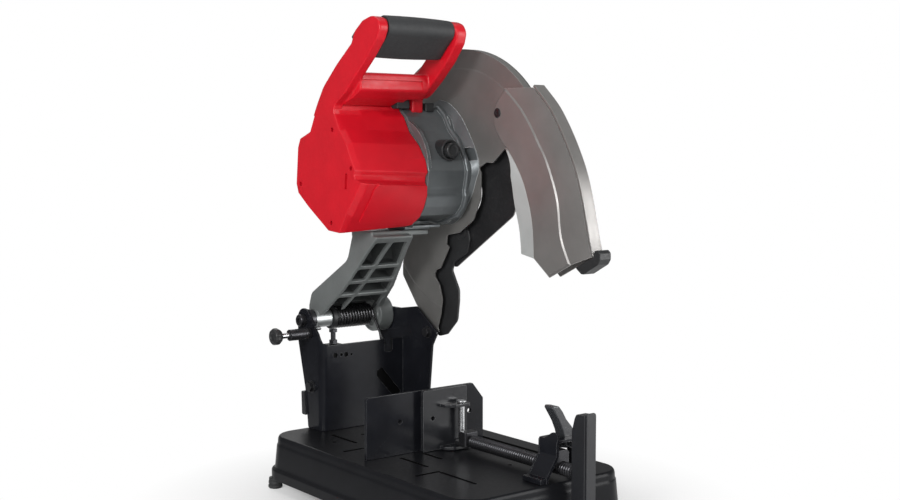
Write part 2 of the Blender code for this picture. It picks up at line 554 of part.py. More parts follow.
rod("spindle", "X", SC, [(7.0, 6.0), (16.5, 6.0), (16.5, 8.5), (70.5, 8.5), (70.5, 10.0), (82.5, 10.0),
                         (82.5, 12.7), (93.0, 12.7)], STEEL, 28)
gear = prism("spindle_gear", "X", gear_outline(SC, GEAR_N, GEAR_M, MESH_A), 18.5, 30.5, STEEL)
cut(gear, rod("gb", "X", SC, [(10, 8.8), (40, 8.8)], n=28))
tube("spindle_bearing_inner", "X", SC, 8.0, 15.0, 6.3, 11.0, STEEL, 24)
tube("spindle_bearing_outer", "X", SC, 61.0, 69.5, 8.8, 15.0, STEEL, 24)
fl = rod("inner_flange", "X", SC, [(83.0, 27.0), (84.0, 32.0), (86.4, 32.0)], STEEL, 32)
cut(fl, rod("ib", "X", SC, [(80, 13.05), (90, 13.05)], n=28))
fl = rod("outer_flange", "X", SC, [(89.6, 32.0), (92.0, 32.0), (93.2, 27.0)], STEEL, 32)
cut(fl, rod("ob", "X", SC, [(80, 13.05), (96, 13.05)], n=28))
bolt = prism("arbor_bolt", "X", circle(SPN_Y, SPN_Z, 11.0, 6), 96.4, 103.0, STEEL)
join(bolt, rod("aw", "X", SC, [(93.5, 18.0), (96.6, 18.0)], n=24))

# ---------------------------------------------------------------- handle
post = [(141.0, 455.3), (124.0, 480.0), (91.0, 508.0), (56.0, 533.0), (48.0, 549.0), (30.0, 561.0),
        (10.0, 566.0), (-4.0, 561.0), (-11.0, 549.0), (-6.0, 534.0), (14.0, 511.0), (42.0, 487.0),
        (67.0, 469.0), (96.0, 455.3)]
bar = [(141.0, 455.3), (124.0, 480.0), (104.0, 496.5), (55.0, 497.0), (53.0, 488.0), (60.0, 473.0),
       (72.0, 463.0), (96.0, 455.3)]
bar_end = [(130.0, 464.0), (124.0, 480.0), (104.0, 496.5), (55.0, 497.0), (53.0, 488.0), (60.0, 473.0),
           (71.0, 464.0)]
right_post = [(124.0, 467.0), (124.0, 480.0), (104.0, 496.5), (85.0, 501.0), (77.0, 503.0), (54.0, 523.0),
              (48.0, 549.0), (30.0, 561.0), (10.0, 566.0), (-4.0, 561.0), (-11.0, 549.0), (-6.0, 534.0),
              (14.0, 511.0), (42.0, 487.0), (66.0, 470.0), (72.0, 467.0)]


def grip_frame(s, t):
    """s along the lean, t across it, from the grip axis."""
    return (GRIP_Y + LEAN[0] * s + LEAN[1] * t, GRIP_Z + LEAN[1] * s - LEAN[0] * t)


def grip_block(name, x0, x1, s0, s1, t, mat=None):
    pts = [grip_frame(s0, -t), grip_frame(s1, -t), grip_frame(s1, t), grip_frame(s0, t)]
    return prism(name, "X", pts, x0, x1, mat)


def grip_oval(name, x0, x1, d, mat=None):
    """Long oval of the grip, d inside its surface: round above, squarer below."""
    r = GRIP_W - d
    pts = [grip_frame(12.0 + r * math.cos(math.radians(a)), r * math.sin(math.radians(a))) for a in range(-90, 91, 15)]
    pts += [grip_frame(-25.0 + 0.6 * d, r), grip_frame(-30.0 + d, 10.0 - 0.5 * d),
            grip_frame(-30.0 + d, -11.0 + 0.6 * d), grip_frame(-26.5 + 0.8 * d, -r)]
    return prism(name, "X", pts, x0, x1, mat)


handle = prism("handle", "X", post, CAP_X, -86.0, RED)
join(handle, prism("cb", "X", bar, -87.0, 2.0), prism("ce", "X", bar_end, 1.0, 23.0),
     prism("rp", "X", right_post, 22.0, 38.0), box("hf", (18.0, 37.0), (84.0, 112.0), (446.2, 468.5)),
     grip_oval("core", -87.0, 23.0, 4.0))
cut(handle, grip_block("ts", -64.0, -4.0, -40.0, 9.0, 7.6))
grip = grip_oval("grip_cover", -84.0, 20.5, 0.0, RUBBER)
cut(grip, grip_oval("gh", -90.0, 30.0, 3.6), grip_block("ts", -64.0, -4.0, -40.0, 0.0, 7.6))
grip_block("trigger", -63.0, -5.0, -33.5, -9.0, 7.0, RUBBER)
grip_block("trigger_switch", -50.0, -20.0, -2.0, 8.5, 6.8, DARK)

# lock-off button on the rear corner of the left post
cut(handle, prism("los", "X", [grip_frame(-34.0, 5.0), grip_frame(-22.0, 5.0), grip_frame(-22.0, 40.0),
                               grip_frame(-34.0, 40.0)], -98.0, -90.0))
prism("lock_off_button", "X", [grip_frame(-33.4, 14.0), grip_frame(-22.6, 14.0), grip_frame(-22.6, 28.5),
                               grip_frame(-33.4, 28.5)], -97.4, -90.6, RUBBER)

# ---------------------------------------------------------------- guards
def guard_pt(a, r=GUARD_R):
    t = math.radians(a)
    return (SPN_Y - r * math.cos(t), SPN_Z + r * math.sin(t))


rim_a0, rim_a1, rim_n = 42.0, 198.0, 26
rim_out = [guard_pt(rim_a0 + (rim_a1 - rim_a0) * k / rim_n) for k in range(rim_n + 1)]
rim_in = [guard_pt(rim_a0 + (rim_a1 - rim_a0) * k / rim_n, GUARD_R - 2.4) for k in range(rim_n + 1)]
left_wall = rim_out + [(200.0, 300.0), (161.0, 288.0), (190.0, 240.0), (196.0, 227.0), (196.0, 212.0),
                       (162.0, 171.0), (140.0, 154.0), (106.0, 135.0), (111.0, 143.0), (104.0, 162.0),
                       (99.0, 184.0), (106.0, 205.0), (118.0, 218.0), (113.0, 226.0), (104.0, 229.0),
                       (83.0, 261.0), (90.0, 264.0), (88.0, 277.0), (60.0, 282.0), (30.0, 300.0),
                       (14.0, 330.0), (13.0, 366.0), (18.0, 372.0), (9.0, 376.0), (1.0, 380.0),
                       (-12.0, 379.0), (-39.0, 400.0)]
guard = prism("upper_guard", "X", left_wall, WHEEL_X - GUARD_OUT, WHEEL_X - GUARD_IN, SILVER)
prism("guard_rim", "X", rim_out + list(reversed(rim_in)), WHEEL_X - GUARD_IN + GAP,
      WHEEL_X + GUARD_IN - GAP, SILVER)
cut(guard, rod("hub", "X", SC, [(70, 20.0), (90, 20.0)], n=28))
right_wall = rim_out + [(200.0, 300.0), (150.0, 262.0), (120.0, 240.0), (84.0, 231.0), (-39.0, 309.0),
                        (-68.0, 380.0)]
cover = prism("guard_side_cover", "X", right_wall, WHEEL_X + GUARD_IN, WHEEL_X + GUARD_OUT, SILVER)
cut(cover, rod("acc", "X", SC, [(85, 38.0), (110, 38.0)], n=32))
prism("spark_deflector", "X", [(52.0, 284.0), (49.0, 272.0), (55.0, 253.0), (83.0, 239.0), (90.0, 227.0),
                               (74.0, 200.0), (74.0, 185.0), (78.0, 156.0), (101.0, 134.0), (120.0, 129.0),
                               (150.0, 152.0), (182.0, 205.0), (180.0, 226.0), (120.0, 255.0), (92.0, 288.0),
                               (70.0, 298.0)], WHEEL_X + 2.0, WHEEL_X + GUARD_IN - GAP, RUBBER)

visor_rim = [(-95.0, 480.0), (-122.0, 455.5), (-138.0, 436.0), (-154.0, 412.0), (-168.0, 387.0),
             (-178.0, 365.0), (-186.5, 339.0), (-193.5, 312.0), (-199.5, 288.0), (-206.0, 267.0)]
visor_side = visor_rim + [(-172.0, 252.0), (-128.0, 234.0), (-98.0, 256.0), (-94.0, 304.0), (-80.0, 347.0),
                          (-64.0, 374.0), (-43.0, 399.0), (-33.0, 408.0), (-22.0, 423.0), (-18.0, 440.0),
                          (-22.0, 456.0), (-34.0, 470.0), (-44.0, 477.0)]


def offset_in(line, d):
    out = []
    for i, p in enumerate(line):
        q0 = Vector(line[max(i - 1, 0)])
        q1 = Vector(line[min(i + 1, len(line) - 1)])
        t = (q1 - q0).normalized()
        out.append((p[0] - t.y * d, p[1] + t.x * d))
    return out


visor = prism("lower_guard", "X", visor_side, WHEEL_X - VISOR_OUT, WHEEL_X - VISOR_IN, SILVER)
rim_l = visor_rim + list(reversed(offset_in(visor_rim, 2.0)))
join(visor, prism("vr", "X", rim_l, WHEEL_X - VISOR_OUT + 0.4, WHEEL_X + VISOR_OUT - 0.4),
     prism("vp", "X", visor_side, WHEEL_X + VISOR_IN, WHEEL_X + VISOR_OUT))
for x in (WHEEL_X - 9.0, WHEEL_X + 9.0):
    cut(visor, rod("vh", "X", (VIS_Y, VIS_Z), [(x - 3.0, 4.3), (x + 3.0, 4.3)], n=16))
cut(guard, rod("gh", "X", (VIS_Y, VIS_Z), [(78.0, 2.8), (84.0, 2.8)], n=16))
cut(cover, rod("gh", "X", (VIS_Y, VIS_Z), [(92.0, 2.8), (98.0, 2.8)], n=16))
rod("visor_pivot_left", "X", (VIS_Y, VIS_Z), [(75.5, 4.5), (76.3, 6.5), (77.7, 6.5), (77.7, 4.0), (79.9, 4.0),
                                            (79.9, 2.5), (82.4, 2.5)], STEEL, 12)
rod("visor_pivot_right", "X", (VIS_Y, VIS_Z), [(93.6, 2.5), (96.1, 2.5), (96.1, 4.0), (98.3, 4.0), (98.3, 6.5),
                                             (99.7, 6.5), (100.5, 4.5)], STEEL, 12)
prism("visor_bumper", "X", [(-174.0, 250.9), (-185.0, 243.5), (-189.0, 243.5), (-214.0, 257.0), (-218.0, 263.0),
                           (-218.0, 271.0), (-214.0, 275.0), (-208.5, 274.0), (-206.5, 266.3)],
      WHEEL_X - 9.6, WHEEL_X + 9.6, RUBBER)

# ---------------------------------------------------------------- joint empties
BODIES = {
    "head_axis": ((0.0, PIV_Y, PIV_Z), ["arm", "lock_lug", "gear_case", "bearing_plate", "motor_housing", "end_cap", "handle",
                                        "grip_cover", "trigger_switch", "battery_dock", "motor_controller",
                                        "stator", "motor_bearing_front", "motor_bearing_rear",
                                        "spindle_bearing_inner", "spindle_bearing_outer", "upper_guard", "guard_rim",
                                        "guard_side_cover", "spark_deflector", "visor_pivot_left",
                                        "visor_pivot_right"]),
    "rotor_axis": ((0.0, MOT_Y, MOT_Z), ["rotor", "pinion", "fan"]),
    "spindle_axis": ((0.0, SPN_Y, SPN_Z), ["spindle", "spindle_gear", "inner_flange", "outer_flange", "arbor_bolt"]),
    "visor_axis": ((WHEEL_X, VIS_Y, VIS_Z), ["lower_guard", "visor_bumper"]),
    "trigger_axis": ((-34.0, GRIP_Y, GRIP_Z), ["trigger"]),
    "lock_off_axis": ((-94.0, *grip_frame(-28.0, 20.0)), ["lock_off_button"]),
    "spindle_lock_axis": ((40.0, 20.0, 396.0), ["spindle_lock_button"]),
    "lock_pin_axis": ((-100.0, LOCK_Y, LOCK_Z), ["lock_pin", "lock_knob"]),
    "vise_axis": ((SCREW_X, -25.0, SCREW_Z), ["jaw_yoke", "jaw_pin"]),
    "screw_axis": ((SCREW_X, -100.0, SCREW_Z), ["vise_screw", "crank"]),
    "jaw_axis": ((SCREW_X, -14.0, 30.0), ["jaw_plate"]),
    "release_axis": ((REL_X, -198.0, REL_Z), ["release_lever"]),
    "half_nut_axis": ((SCREW_X, -198.0, SCREW_Z), ["half_nut"]),
}
for name, (where, members) in BODIES.items():
    e = bpy.data.objects.new(name, None)
    e.location = place(where)
    bpy.context.scene.collection.objects.link(e)
    bpy.context.view_layer.update()
    for m in members:
        ob = bpy.data.objects[m]
        ob.parent = e
        ob.matrix_parent_inverse = e.matrix_world.inverted()
bpy.context.view_layer.update()
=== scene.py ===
# Looks of the bench cut-off saw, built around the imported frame.
# Lengths are millimetres against the table; P() takes them to the row frame.
import bpy
import bmesh
import json
import math
from mathutils import Vector, Matrix

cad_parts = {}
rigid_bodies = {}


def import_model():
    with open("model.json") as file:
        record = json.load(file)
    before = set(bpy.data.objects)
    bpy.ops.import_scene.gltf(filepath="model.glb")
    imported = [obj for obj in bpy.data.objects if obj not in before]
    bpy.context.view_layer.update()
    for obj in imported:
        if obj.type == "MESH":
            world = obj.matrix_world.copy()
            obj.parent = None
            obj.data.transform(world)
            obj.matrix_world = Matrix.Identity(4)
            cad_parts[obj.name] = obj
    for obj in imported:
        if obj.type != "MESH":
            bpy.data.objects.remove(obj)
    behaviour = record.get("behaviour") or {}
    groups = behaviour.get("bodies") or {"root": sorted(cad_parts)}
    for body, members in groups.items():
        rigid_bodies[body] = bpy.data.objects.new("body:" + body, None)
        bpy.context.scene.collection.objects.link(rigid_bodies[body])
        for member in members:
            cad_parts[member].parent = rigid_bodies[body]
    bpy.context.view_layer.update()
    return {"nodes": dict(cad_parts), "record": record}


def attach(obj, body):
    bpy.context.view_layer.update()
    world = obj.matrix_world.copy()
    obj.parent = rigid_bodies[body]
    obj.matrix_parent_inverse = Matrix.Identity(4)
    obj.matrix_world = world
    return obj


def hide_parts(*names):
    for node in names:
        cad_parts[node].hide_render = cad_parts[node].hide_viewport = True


for old in list(bpy.data.objects):
    bpy.data.objects.remove(old, do_unlink=True)

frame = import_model()
nodes = frame["nodes"]

MM = 0.001
PIV = (228.0, 154.0)
SPN = (65.0, 339.0)
CASE = (98.0, 370.0)
VIS = (-27.0, 445.0)
GRIP = (15.3, 542.7)
LEAN = (-0.735, 0.678)
LOCK = (212.0, 137.0)
SCREW = (26.0, 13.5)
REL = (46.0, 42.0)
WX = 88.0


def P(x, y, z):
    return Vector(((x + 4.0) * MM, y * MM, (z + 75.0) * MM))


def at(axis, a, u, v):
    if axis == "X":
        return (a, u, v)
    if axis == "Y":
        return (u, a, v)
    return (u, v, a)


# ---------------------------------------------------------------- materials
def nodes_of(name):
    m = bpy.data.materials.new(name)
    m.use_nodes = True
    t = m.node_tree
    return m, t, t.nodes["Principled BSDF"]


def noise(t, coord, scale, detail=3.0, rough=0.55, stretch=None):
    n = t.nodes.new("ShaderNodeTexNoise")
    n.inputs["Scale"].default_value = scale
    n.inputs["Detail"].default_value = detail
    n.inputs["Roughness"].default_value = rough
    src = coord
    if stretch:
        mp = t.nodes.new("ShaderNodeMapping")
        mp.inputs["Scale"].default_value = stretch
        t.links.new(coord, mp.inputs["Vector"])
        src = mp.outputs["Vector"]
    t.links.new(src, n.inputs["Vector"])
    return n.outputs["Fac"]


def span(t, fac, lo, hi, a=0.3, b=0.7):
    r = t.nodes.new("ShaderNodeMapRange")
    r.inputs["From Min"].default_value = a
    r.inputs["From Max"].default_value = b
    r.inputs["To Min"].default_value = lo
    r.inputs["To Max"].default_value = hi
    t.links.new(fac, r.inputs["Value"])
    return r.outputs["Result"]


def mixed(t, fac, a, b):
    m = t.nodes.new("ShaderNodeMix")
    m.data_type = "RGBA"
    t.links.new(fac, m.inputs["Factor"])
    for key, v in (("A", a), ("B", b)):
        sock = [s for s in m.inputs if s.name == key and s.type == "RGBA"][0]
        if isinstance(v, tuple):
            sock.default_value = (*v, 1.0)
        else:
            t.links.new(v, sock)
    return [s for s in m.outputs if s.type == "RGBA"][0]


def finish_mat(name, colour, rough, metal=0.0, spread=0.08, rvar=0.08, mottle=28.0, grain=1400.0, bump=0.1,
               depth=0.0002, spec=0.5, coat=0.0, wear_and_highlight=None, wear_and_highlight_amount=0.6, wear_and_highlight_radius=0.0011, stretch=None,
               dust=None):
    """Coloured, grained surface with uneven gloss, and lighter edges: partly rubbed wear, partly painted edge
    highlight.
    """
    m, t, b = nodes_of(name)
    co = t.nodes.new("ShaderNodeTexCoord").outputs["Object"]
    big = noise(t, co, mottle, 4.0)
    fine = noise(t, co, grain, 2.0, 0.6, stretch)
    mid = noise(t, co, mottle * 7.0, 3.0, 0.6, stretch)
    lo = tuple(c * (1.0 - spread) for c in colour)
    hi = tuple(min(1.0, c * (1.0 + spread)) for c in colour)
    col = mixed(t, span(t, big, 0.0, 1.0), lo, hi)
    if dust:
        tiny = noise(t, co, 190.0, 5.0, 0.7)
        col = mixed(t, span(t, tiny, 0.0, 0.5, 0.56, 0.78), col, dust)
    rsum = span(t, mid, rough - rvar, rough + rvar)
    # Lighter edge colour from the bevel normal: partly rubbed wear, partly painted edge highlight.
    if wear_and_highlight:
        geo = t.nodes.new("ShaderNodeNewGeometry")
        bev = t.nodes.new("ShaderNodeBevel")
        bev.samples = 12
        bev.inputs["Radius"].default_value = wear_and_highlight_radius
        dot = t.nodes.new("ShaderNodeVectorMath")
        dot.operation = "DOT_PRODUCT"
        t.links.new(geo.outputs["Normal"], dot.inputs[0])
        t.links.new(bev.outputs["Normal"], dot.inputs[1])
        edge = span(t, dot.outputs["Value"], wear_and_highlight_amount, 0.0, 0.78, 0.955)
        patch = span(t, noise(t, co, 130.0, 4.0, 0.65), 0.25, 1.0, 0.35, 0.6)
        mul = t.nodes.new("ShaderNodeMath")
        mul.operation = "MULTIPLY"
        t.links.new(edge, mul.inputs[0])
        t.links.new(patch, mul.inputs[1])
        col = mixed(t, mul.outputs["Value"], col, wear_and_highlight)
    t.links.new(col, b.inputs["Base Color"])
    t.links.new(rsum, b.inputs["Roughness"])
    b.inputs["Metallic"].default_value = metal
    b.inputs["Specular IOR Level"].default_value = spec
    if coat:
        b.inputs["Coat Weight"].default_value = coat
        b.inputs["Coat Roughness"].default_value = 0.25
    bp = t.nodes.new("ShaderNodeBump")
    bp.inputs["Strength"].default_value = bump
    bp.inputs["Distance"].default_value = depth
    t.links.new(fine, bp.inputs["Height"])
    t.links.new(bp.outputs["Normal"], b.inputs["Normal"])
    return m


RED = finish_mat("red_moulded", (0.485, 0.0038, 0.0125), 0.40, spread=0.07, rvar=0.07, grain=2600.0, bump=0.14,
                 depth=0.00012, spec=0.36)
BLACK = finish_mat("black_powder_coat", (0.0080, 0.0083, 0.0098), 0.32, spread=0.12, rvar=0.025, grain=900.0, bump=0.02,
                   depth=0.0002, spec=0.10, wear_and_highlight=(0.09, 0.092, 0.10), wear_and_highlight_amount=0.5)
# Bracket coat: its lighter edges are partly a painted highlight line along the fence and bracket edges.
BRACKET = finish_mat("bracket_coat", (0.0085, 0.0090, 0.0115), 0.19, spread=0.2, rvar=0.04, grain=900.0, bump=0.02,
                     depth=0.0002, spec=0.20, wear_and_highlight=(0.18, 0.184, 0.19), wear_and_highlight_amount=0.7, wear_and_highlight_radius=0.0012)
# Jaw coat: the bracket coat made lighter, as painted light for the jaw's brighter reflections.
JAW_COAT_LIT = finish_mat("jaw_coat_painted_light", (0.0145, 0.0150, 0.0172), 0.22, spread=0.2, rvar=0.04, grain=900.0, bump=0.02,
                  depth=0.0002, spec=0.36, wear_and_highlight=(0.24, 0.244, 0.25), wear_and_highlight_amount=0.7, wear_and_highlight_radius=0.0012)
RUBBER = finish_mat("grip_rubber", (0.025, 0.0262, 0.0275), 0.60, spread=0.1, rvar=0.08, grain=1100.0, bump=0.35,
                    depth=0.0003, spec=0.4)
PLASTIC = finish_mat("black_moulded", (0.017, 0.0175, 0.0185), 0.46, spread=0.12, rvar=0.07, grain=1800.0, bump=0.2,
                     depth=0.0002, spec=0.45)
CRANKM = finish_mat("crank_moulded", (0.0125, 0.0131, 0.0152), 0.46, spread=0.1, rvar=0.06, grain=1500.0, bump=0.25,
                    depth=0.0002, spec=0.45)
CAST = finish_mat("cast_gear_case", (0.125, 0.136, 0.141), 0.40, metal=0.5, spread=0.1, rvar=0.08, grain=900.0, bump=0.22,
                  depth=0.0003, wear_and_highlight=(0.70, 0.72, 0.72), wear_and_highlight_amount=0.95, wear_and_highlight_radius=0.0016)
# Cast arm: its lighter edges are partly a painted highlight line along the flange edges.
CASTL = finish_mat("cast_arm", (0.155, 0.166, 0.164), 0.48, metal=0.3, spread=0.08, rvar=0.07, grain=900.0, bump=0.25,
                   depth=0.0003, wear_and_highlight=(0.60, 0.62, 0.62), wear_and_highlight_amount=0.8, wear_and_highlight_radius=0.0028)
SILVER = finish_mat("guard_silver", (0.200, 0.196, 0.189), 0.34, metal=0.55, spread=0.07, rvar=0.06, grain=700.0, bump=0.10,
                    depth=0.0003, wear_and_highlight=(0.62, 0.61, 0.60), wear_and_highlight_amount=0.8, stretch=(1.0, 0.16, 0.16))
VISORM = finish_mat("visor_silver", (0.220, 0.212, 0.205), 0.34, metal=0.5, spread=0.07, rvar=0.06, grain=700.0, bump=0.10,
                    depth=0.0003, wear_and_highlight=(0.80, 0.79, 0.77), wear_and_highlight_amount=0.9, stretch=(1.0, 0.16, 0.16))
# Painted shade: near-black for the floors and walls of grooves and blind recesses.
RECESS_SHADE = finish_mat("recess_painted_shade", (0.0028, 0.0028, 0.003), 0.6, spread=0.3, rvar=0.1, grain=600.0, bump=0.1, depth=0.0002, spec=0.08)
# Painted shade: darker cast colour for the inside of the arm's pockets.
CAST_POCKET_SHADE = finish_mat("cast_arm_painted_shade", (0.045, 0.048, 0.048), 0.58, metal=0.15, spread=0.18, rvar=0.07, grain=900.0, bump=0.25,
                   depth=0.0003, spec=0.25)
SLEEVE = finish_mat("turned_sleeve", (0.50, 0.52, 0.52), 0.42, metal=0.8, spread=0.08, rvar=0.08, grain=900.0, bump=0.12,
                    depth=0.0002, stretch=(0.25, 4.0, 4.0))
# Lever: glossy black with a lighter base colour as a painted highlight on the blade.
LEVER_BLACK_HIGHLIGHT = finish_mat("lever_gloss_black_painted_highlight", (0.034, 0.0355, 0.039), 0.24, spread=0.15, rvar=0.05, grain=900.0, bump=0.03, depth=0.0002, spec=0.6,
                    wear_and_highlight=(0.25, 0.255, 0.26), wear_and_highlight_amount=0.6)
# Painted light: a much lighter copy of the visor metal for the flare faces that face the light.
VISOR_FLARE_LIT = finish_mat("visor_flare_painted_light", (0.40, 0.41, 0.405), 0.34, metal=0.35, spread=0.06, rvar=0.05, grain=700.0, bump=0.08,
                    depth=0.0003, wear_and_highlight=(0.85, 0.85, 0.84), wear_and_highlight_amount=0.9)
# Dark inner face of the guard cover: painted shade inside the guard over its dark paint, with dust specks.
INNER_DARK_AND_SHADE = finish_mat("guard_inner_dark", (0.012, 0.012, 0.013), 0.5, spread=0.25, rvar=0.1, grain=500.0, bump=0.2,
                   depth=0.0003, spec=0.3, dust=(0.05, 0.048, 0.045))
ZINC = finish_mat("zinc_steel", (0.60, 0.61, 0.62), 0.27, metal=1.0, spread=0.08, rvar=0.08, grain=900.0, bump=0.12,
                  depth=0.0002, stretch=(0.25, 4.0, 4.0))
DARK = finish_mat("oiled_steel", (0.042, 0.042, 0.046), 0.34, metal=0.75, spread=0.2, rvar=0.1, grain=900.0, bump=0.15,
                  depth=0.0002, wear_and_highlight=(0.3, 0.3, 0.31), wear_and_highlight_amount=0.5)
SPRINGM = finish_mat("spring_wire", (0.075, 0.075, 0.078), 0.32, metal=0.9, spread=0.15, rvar=0.08, grain=900.0, bump=0.12,
                     depth=0.0002)
BRIGHT = finish_mat("machined_steel", (0.50, 0.50, 0.51), 0.32, metal=1.0, spread=0.08, rvar=0.06, grain=1000.0, bump=0.05,
                    depth=0.0002)
COPPER = finish_mat("wound_core", (0.42, 0.18, 0.085), 0.5, metal=0.5, spread=0.25, rvar=0.12, grain=800.0, bump=0.5,
                    depth=0.0004, stretch=(0.2, 3.0, 3.0))
BOARD = finish_mat("potted_board", (0.02, 0.10, 0.05), 0.5, spread=0.3, rvar=0.12, grain=400.0, bump=0.3, depth=0.0004)

SLOT_MAT = {"black_paint": BLACK, "red_plastic": RED, "black_rubber": RUBBER, "black_plastic": PLASTIC,
            "cast_grey": CAST, "silver_guard": SILVER, "bright_steel": BRIGHT, "dark_steel": DARK,
            "copper_winding": COPPER, "circuit_board": BOARD}


# ---------------------------------------------------------------- mesh helpers
def link(name, bm):
    bmesh.ops.remove_doubles(bm, verts=bm.verts, dist=1e-6)
    bmesh.ops.recalc_face_normals(bm, faces=bm.faces)
    me = bpy.data.meshes.new(name)
    bm.to_mesh(me)
    bm.free()
    ob = bpy.data.objects.new(name, me)
    bpy.context.scene.collection.objects.link(ob)
    return ob


def baked(ob):
    bpy.context.view_layer.update()
    dg = bpy.context.evaluated_depsgraph_get()
    made = bpy.data.meshes.new_from_object(ob.evaluated_get(dg))
    old = ob.data
    ob.modifiers.clear()
    ob.data = made
    bpy.data.meshes.remove(old)
    return ob


def boolean(a, b, op):
    m = a.modifiers.new("op", "BOOLEAN")
    m.operation = op
    m.object = b
    m.solver = "EXACT"
    baked(a)
    old = b.data
    bpy.data.objects.remove(b, do_unlink=True)
    bpy.data.meshes.remove(old)
    return a


def cut(a, *tools):
    for b in tools:
        boolean(a, b, "DIFFERENCE")
    return a


def join(a, *tools):
    for b in tools:
        boolean(a, b, "UNION")
    return a


def pile(a, *others):
    """Puts several meshes into one object, for a remesh to fuse."""
    bm = bmesh.new()
    for o in (a, *others):
        bm.from_mesh(o.data)
    bm.to_mesh(a.data)
    bm.free()
    for o in others:
        old = o.data
        bpy.data.objects.remove(o, do_unlink=True)
        bpy.data.meshes.remove(old)
    return a


def keep(a, b):
    return boolean(a, b, "INTERSECT")


def edges(ob, w, seg=2, angle=30.0):
    m = ob.modifiers.new("edge", "BEVEL")
    m.width = w * MM
    m.segments = seg
    m.limit_method = "ANGLE"
    m.angle_limit = math.radians(angle)
    m.use_clamp_overlap = True
    return baked(ob)


def remesh(ob, voxel, passes):
    m = ob.modifiers.new("r", "REMESH")
    m.mode = "VOXEL"
    m.voxel_size = voxel * MM
    if passes:
        s = ob.modifiers.new("s", "SMOOTH")
        s.factor = 0.5
        s.iterations = passes
    return baked(ob)


def skin(rings, loop=False, caps=True, name="tmp"):
    bm = bmesh.new()
    rows = [[bm.verts.new(P(*p)) for p in ring] for ring in rings]
    n = len(rows[0])
    last = len(rows) if loop else len(rows) - 1
    for i in range(last):
        a, b = rows[i], rows[(i + 1) % len(rows)]
        for k in range(n):
            bm.faces.new((a[k], a[(k + 1) % n], b[(k + 1) % n], b[k]))
    if caps and not loop:
        bm.faces.new(rows[0])
        bm.faces.new(list(reversed(rows[-1])))
    return link(name, bm)


def prism(axis, pts, a0, a1):
    return skin([[at(axis, a0, *p[:2]) for p in pts], [at(axis, a1, *p[:2]) for p in pts]])


def slab(axis, pts, a0, a1, w=0.6, seg=2, angle=30.0):
    return edges(prism(axis, pts, a0, a1), w, seg, angle)


def block(x, y, z, w=0.6, seg=2):
    return slab("X", [(y[0], z[0]), (y[1], z[0]), (y[1], z[1]), (y[0], z[1])], x[0], x[1], w, seg)


def circle(cu, cv, r, n=48, phase=0.0):
    return [(cu + r * math.cos(phase + 2 * math.pi * k / n),
             cv + r * math.sin(phase + 2 * math.pi * k / n)) for k in range(n)]


def arc(cu, cv, r, a0, a1, n):
    return [(cu + r * math.cos(math.radians(a0 + (a1 - a0) * k / n)),
             cv + r * math.sin(math.radians(a0 + (a1 - a0) * k / n))) for k in range(n + 1)]


def fillet(pts, r, n=6, closed=True):
    """Polygon with rounded corners; a third number on a point is its own radius."""
    out = []
    pts = [p for i, p in enumerate(pts) if i == 0 or (Vector(p[:2]) - Vector(pts[i - 1][:2])).length > 1e-6]
    m = len(pts)
    for i, p in enumerate(pts):
        rad = p[2] if len(p) > 2 else r
        b = Vector(p[:2])
        if not closed and i in (0, m - 1):
            out.append(tuple(b))
            continue
        u = Vector(pts[i - 1][:2]) - b
        v = Vector(pts[(i + 1) % m][:2]) - b
        lu, lv = u.length, v.length
        u.normalize()
        v.normalize()
        ang = u.angle(v)
        if rad <= 0 or ang > math.pi - 0.06:
            out.append(tuple(b))
            continue
        t = min(rad / math.tan(ang / 2), 0.48 * lu, 0.48 * lv)
        rr = t * math.tan(ang / 2)
        c = b + (u + v).normalized() * (rr / math.sin(ang / 2))
        s, e = b + u * t - c, b + v * t - c
        a0, a1 = math.atan2(s.y, s.x), math.atan2(e.y, e.x)
        d = (a1 - a0 + math.pi) % (2 * math.pi) - math.pi
        for k in range(n + 1):
            a = a0 + d * k / n
            out.append((c.x + rr * math.cos(a), c.y + rr * math.sin(a)))
    return out


def spline(pts, per=6):
    """Catmull-Rom line through the points."""
    out = []
    q = [Vector(p) for p in pts]
    for i in range(len(q) - 1):
        p0, p1, p2, p3 = q[max(i - 1, 0)], q[i], q[i + 1], q[min(i + 2, len(q) - 1)]
        for k in range(per):
            s = k / per
            out.append(tuple(0.5 * (2 * p1 + (p2 - p0) * s + (2 * p0 - 5 * p1 + 4 * p2 - p3) * s * s
                                    + (3 * p1 - p0 - 3 * p2 + p3) * s ** 3)))
    out.append(tuple(q[-1]))
    return out


def shifted(line, d):
    """Open line moved sideways by d."""
    out = []
    for i, p in enumerate(line):
        q0 = Vector(line[max(i - 1, 0)])
        q1 = Vector(line[min(i + 1, len(line) - 1)])
        t = (q1 - q0).normalized()
        out.append((p[0] - t.y * d, p[1] + t.x * d))
    return out


def grown(pts, d):
    """Closed polygon moved outward by d along its corner bisectors."""
    area = sum(pts[i - 1][0] * pts[i][1] - pts[i][0] * pts[i - 1][1] for i in range(len(pts)))
    s = 1.0 if area > 0 else -1.0
    out = []
    for i, p in enumerate(pts):
        a = (Vector(p) - Vector(pts[i - 1])).normalized()
        b = (Vector(pts[(i + 1) % len(pts)]) - Vector(p)).normalized()
        na, nb = Vector((a.y, -a.x)) * s, Vector((b.y, -b.x)) * s
        n = (na + nb)
        n = n / max(0.5, n.dot(na)) if n.length > 1e-6 else na
        out.append((p[0] + n.x * d, p[1] + n.y * d))
    return out


def scaled(pts, c, f):
    return [(c[0] + (u - c[0]) * f, c[1] + (v - c[1]) * f) for u, v in pts]


def lathe(axis, c, prof, n=48, soft=0.0):
    """Turned solid; prof is (position along axis, radius), corners rounded by soft."""
    if soft:
        prof = fillet(prof, soft, 3, closed=False)
    return skin([[at(axis, a, *p) for p in circle(c[0], c[1], r, n)] for a, r in prof])


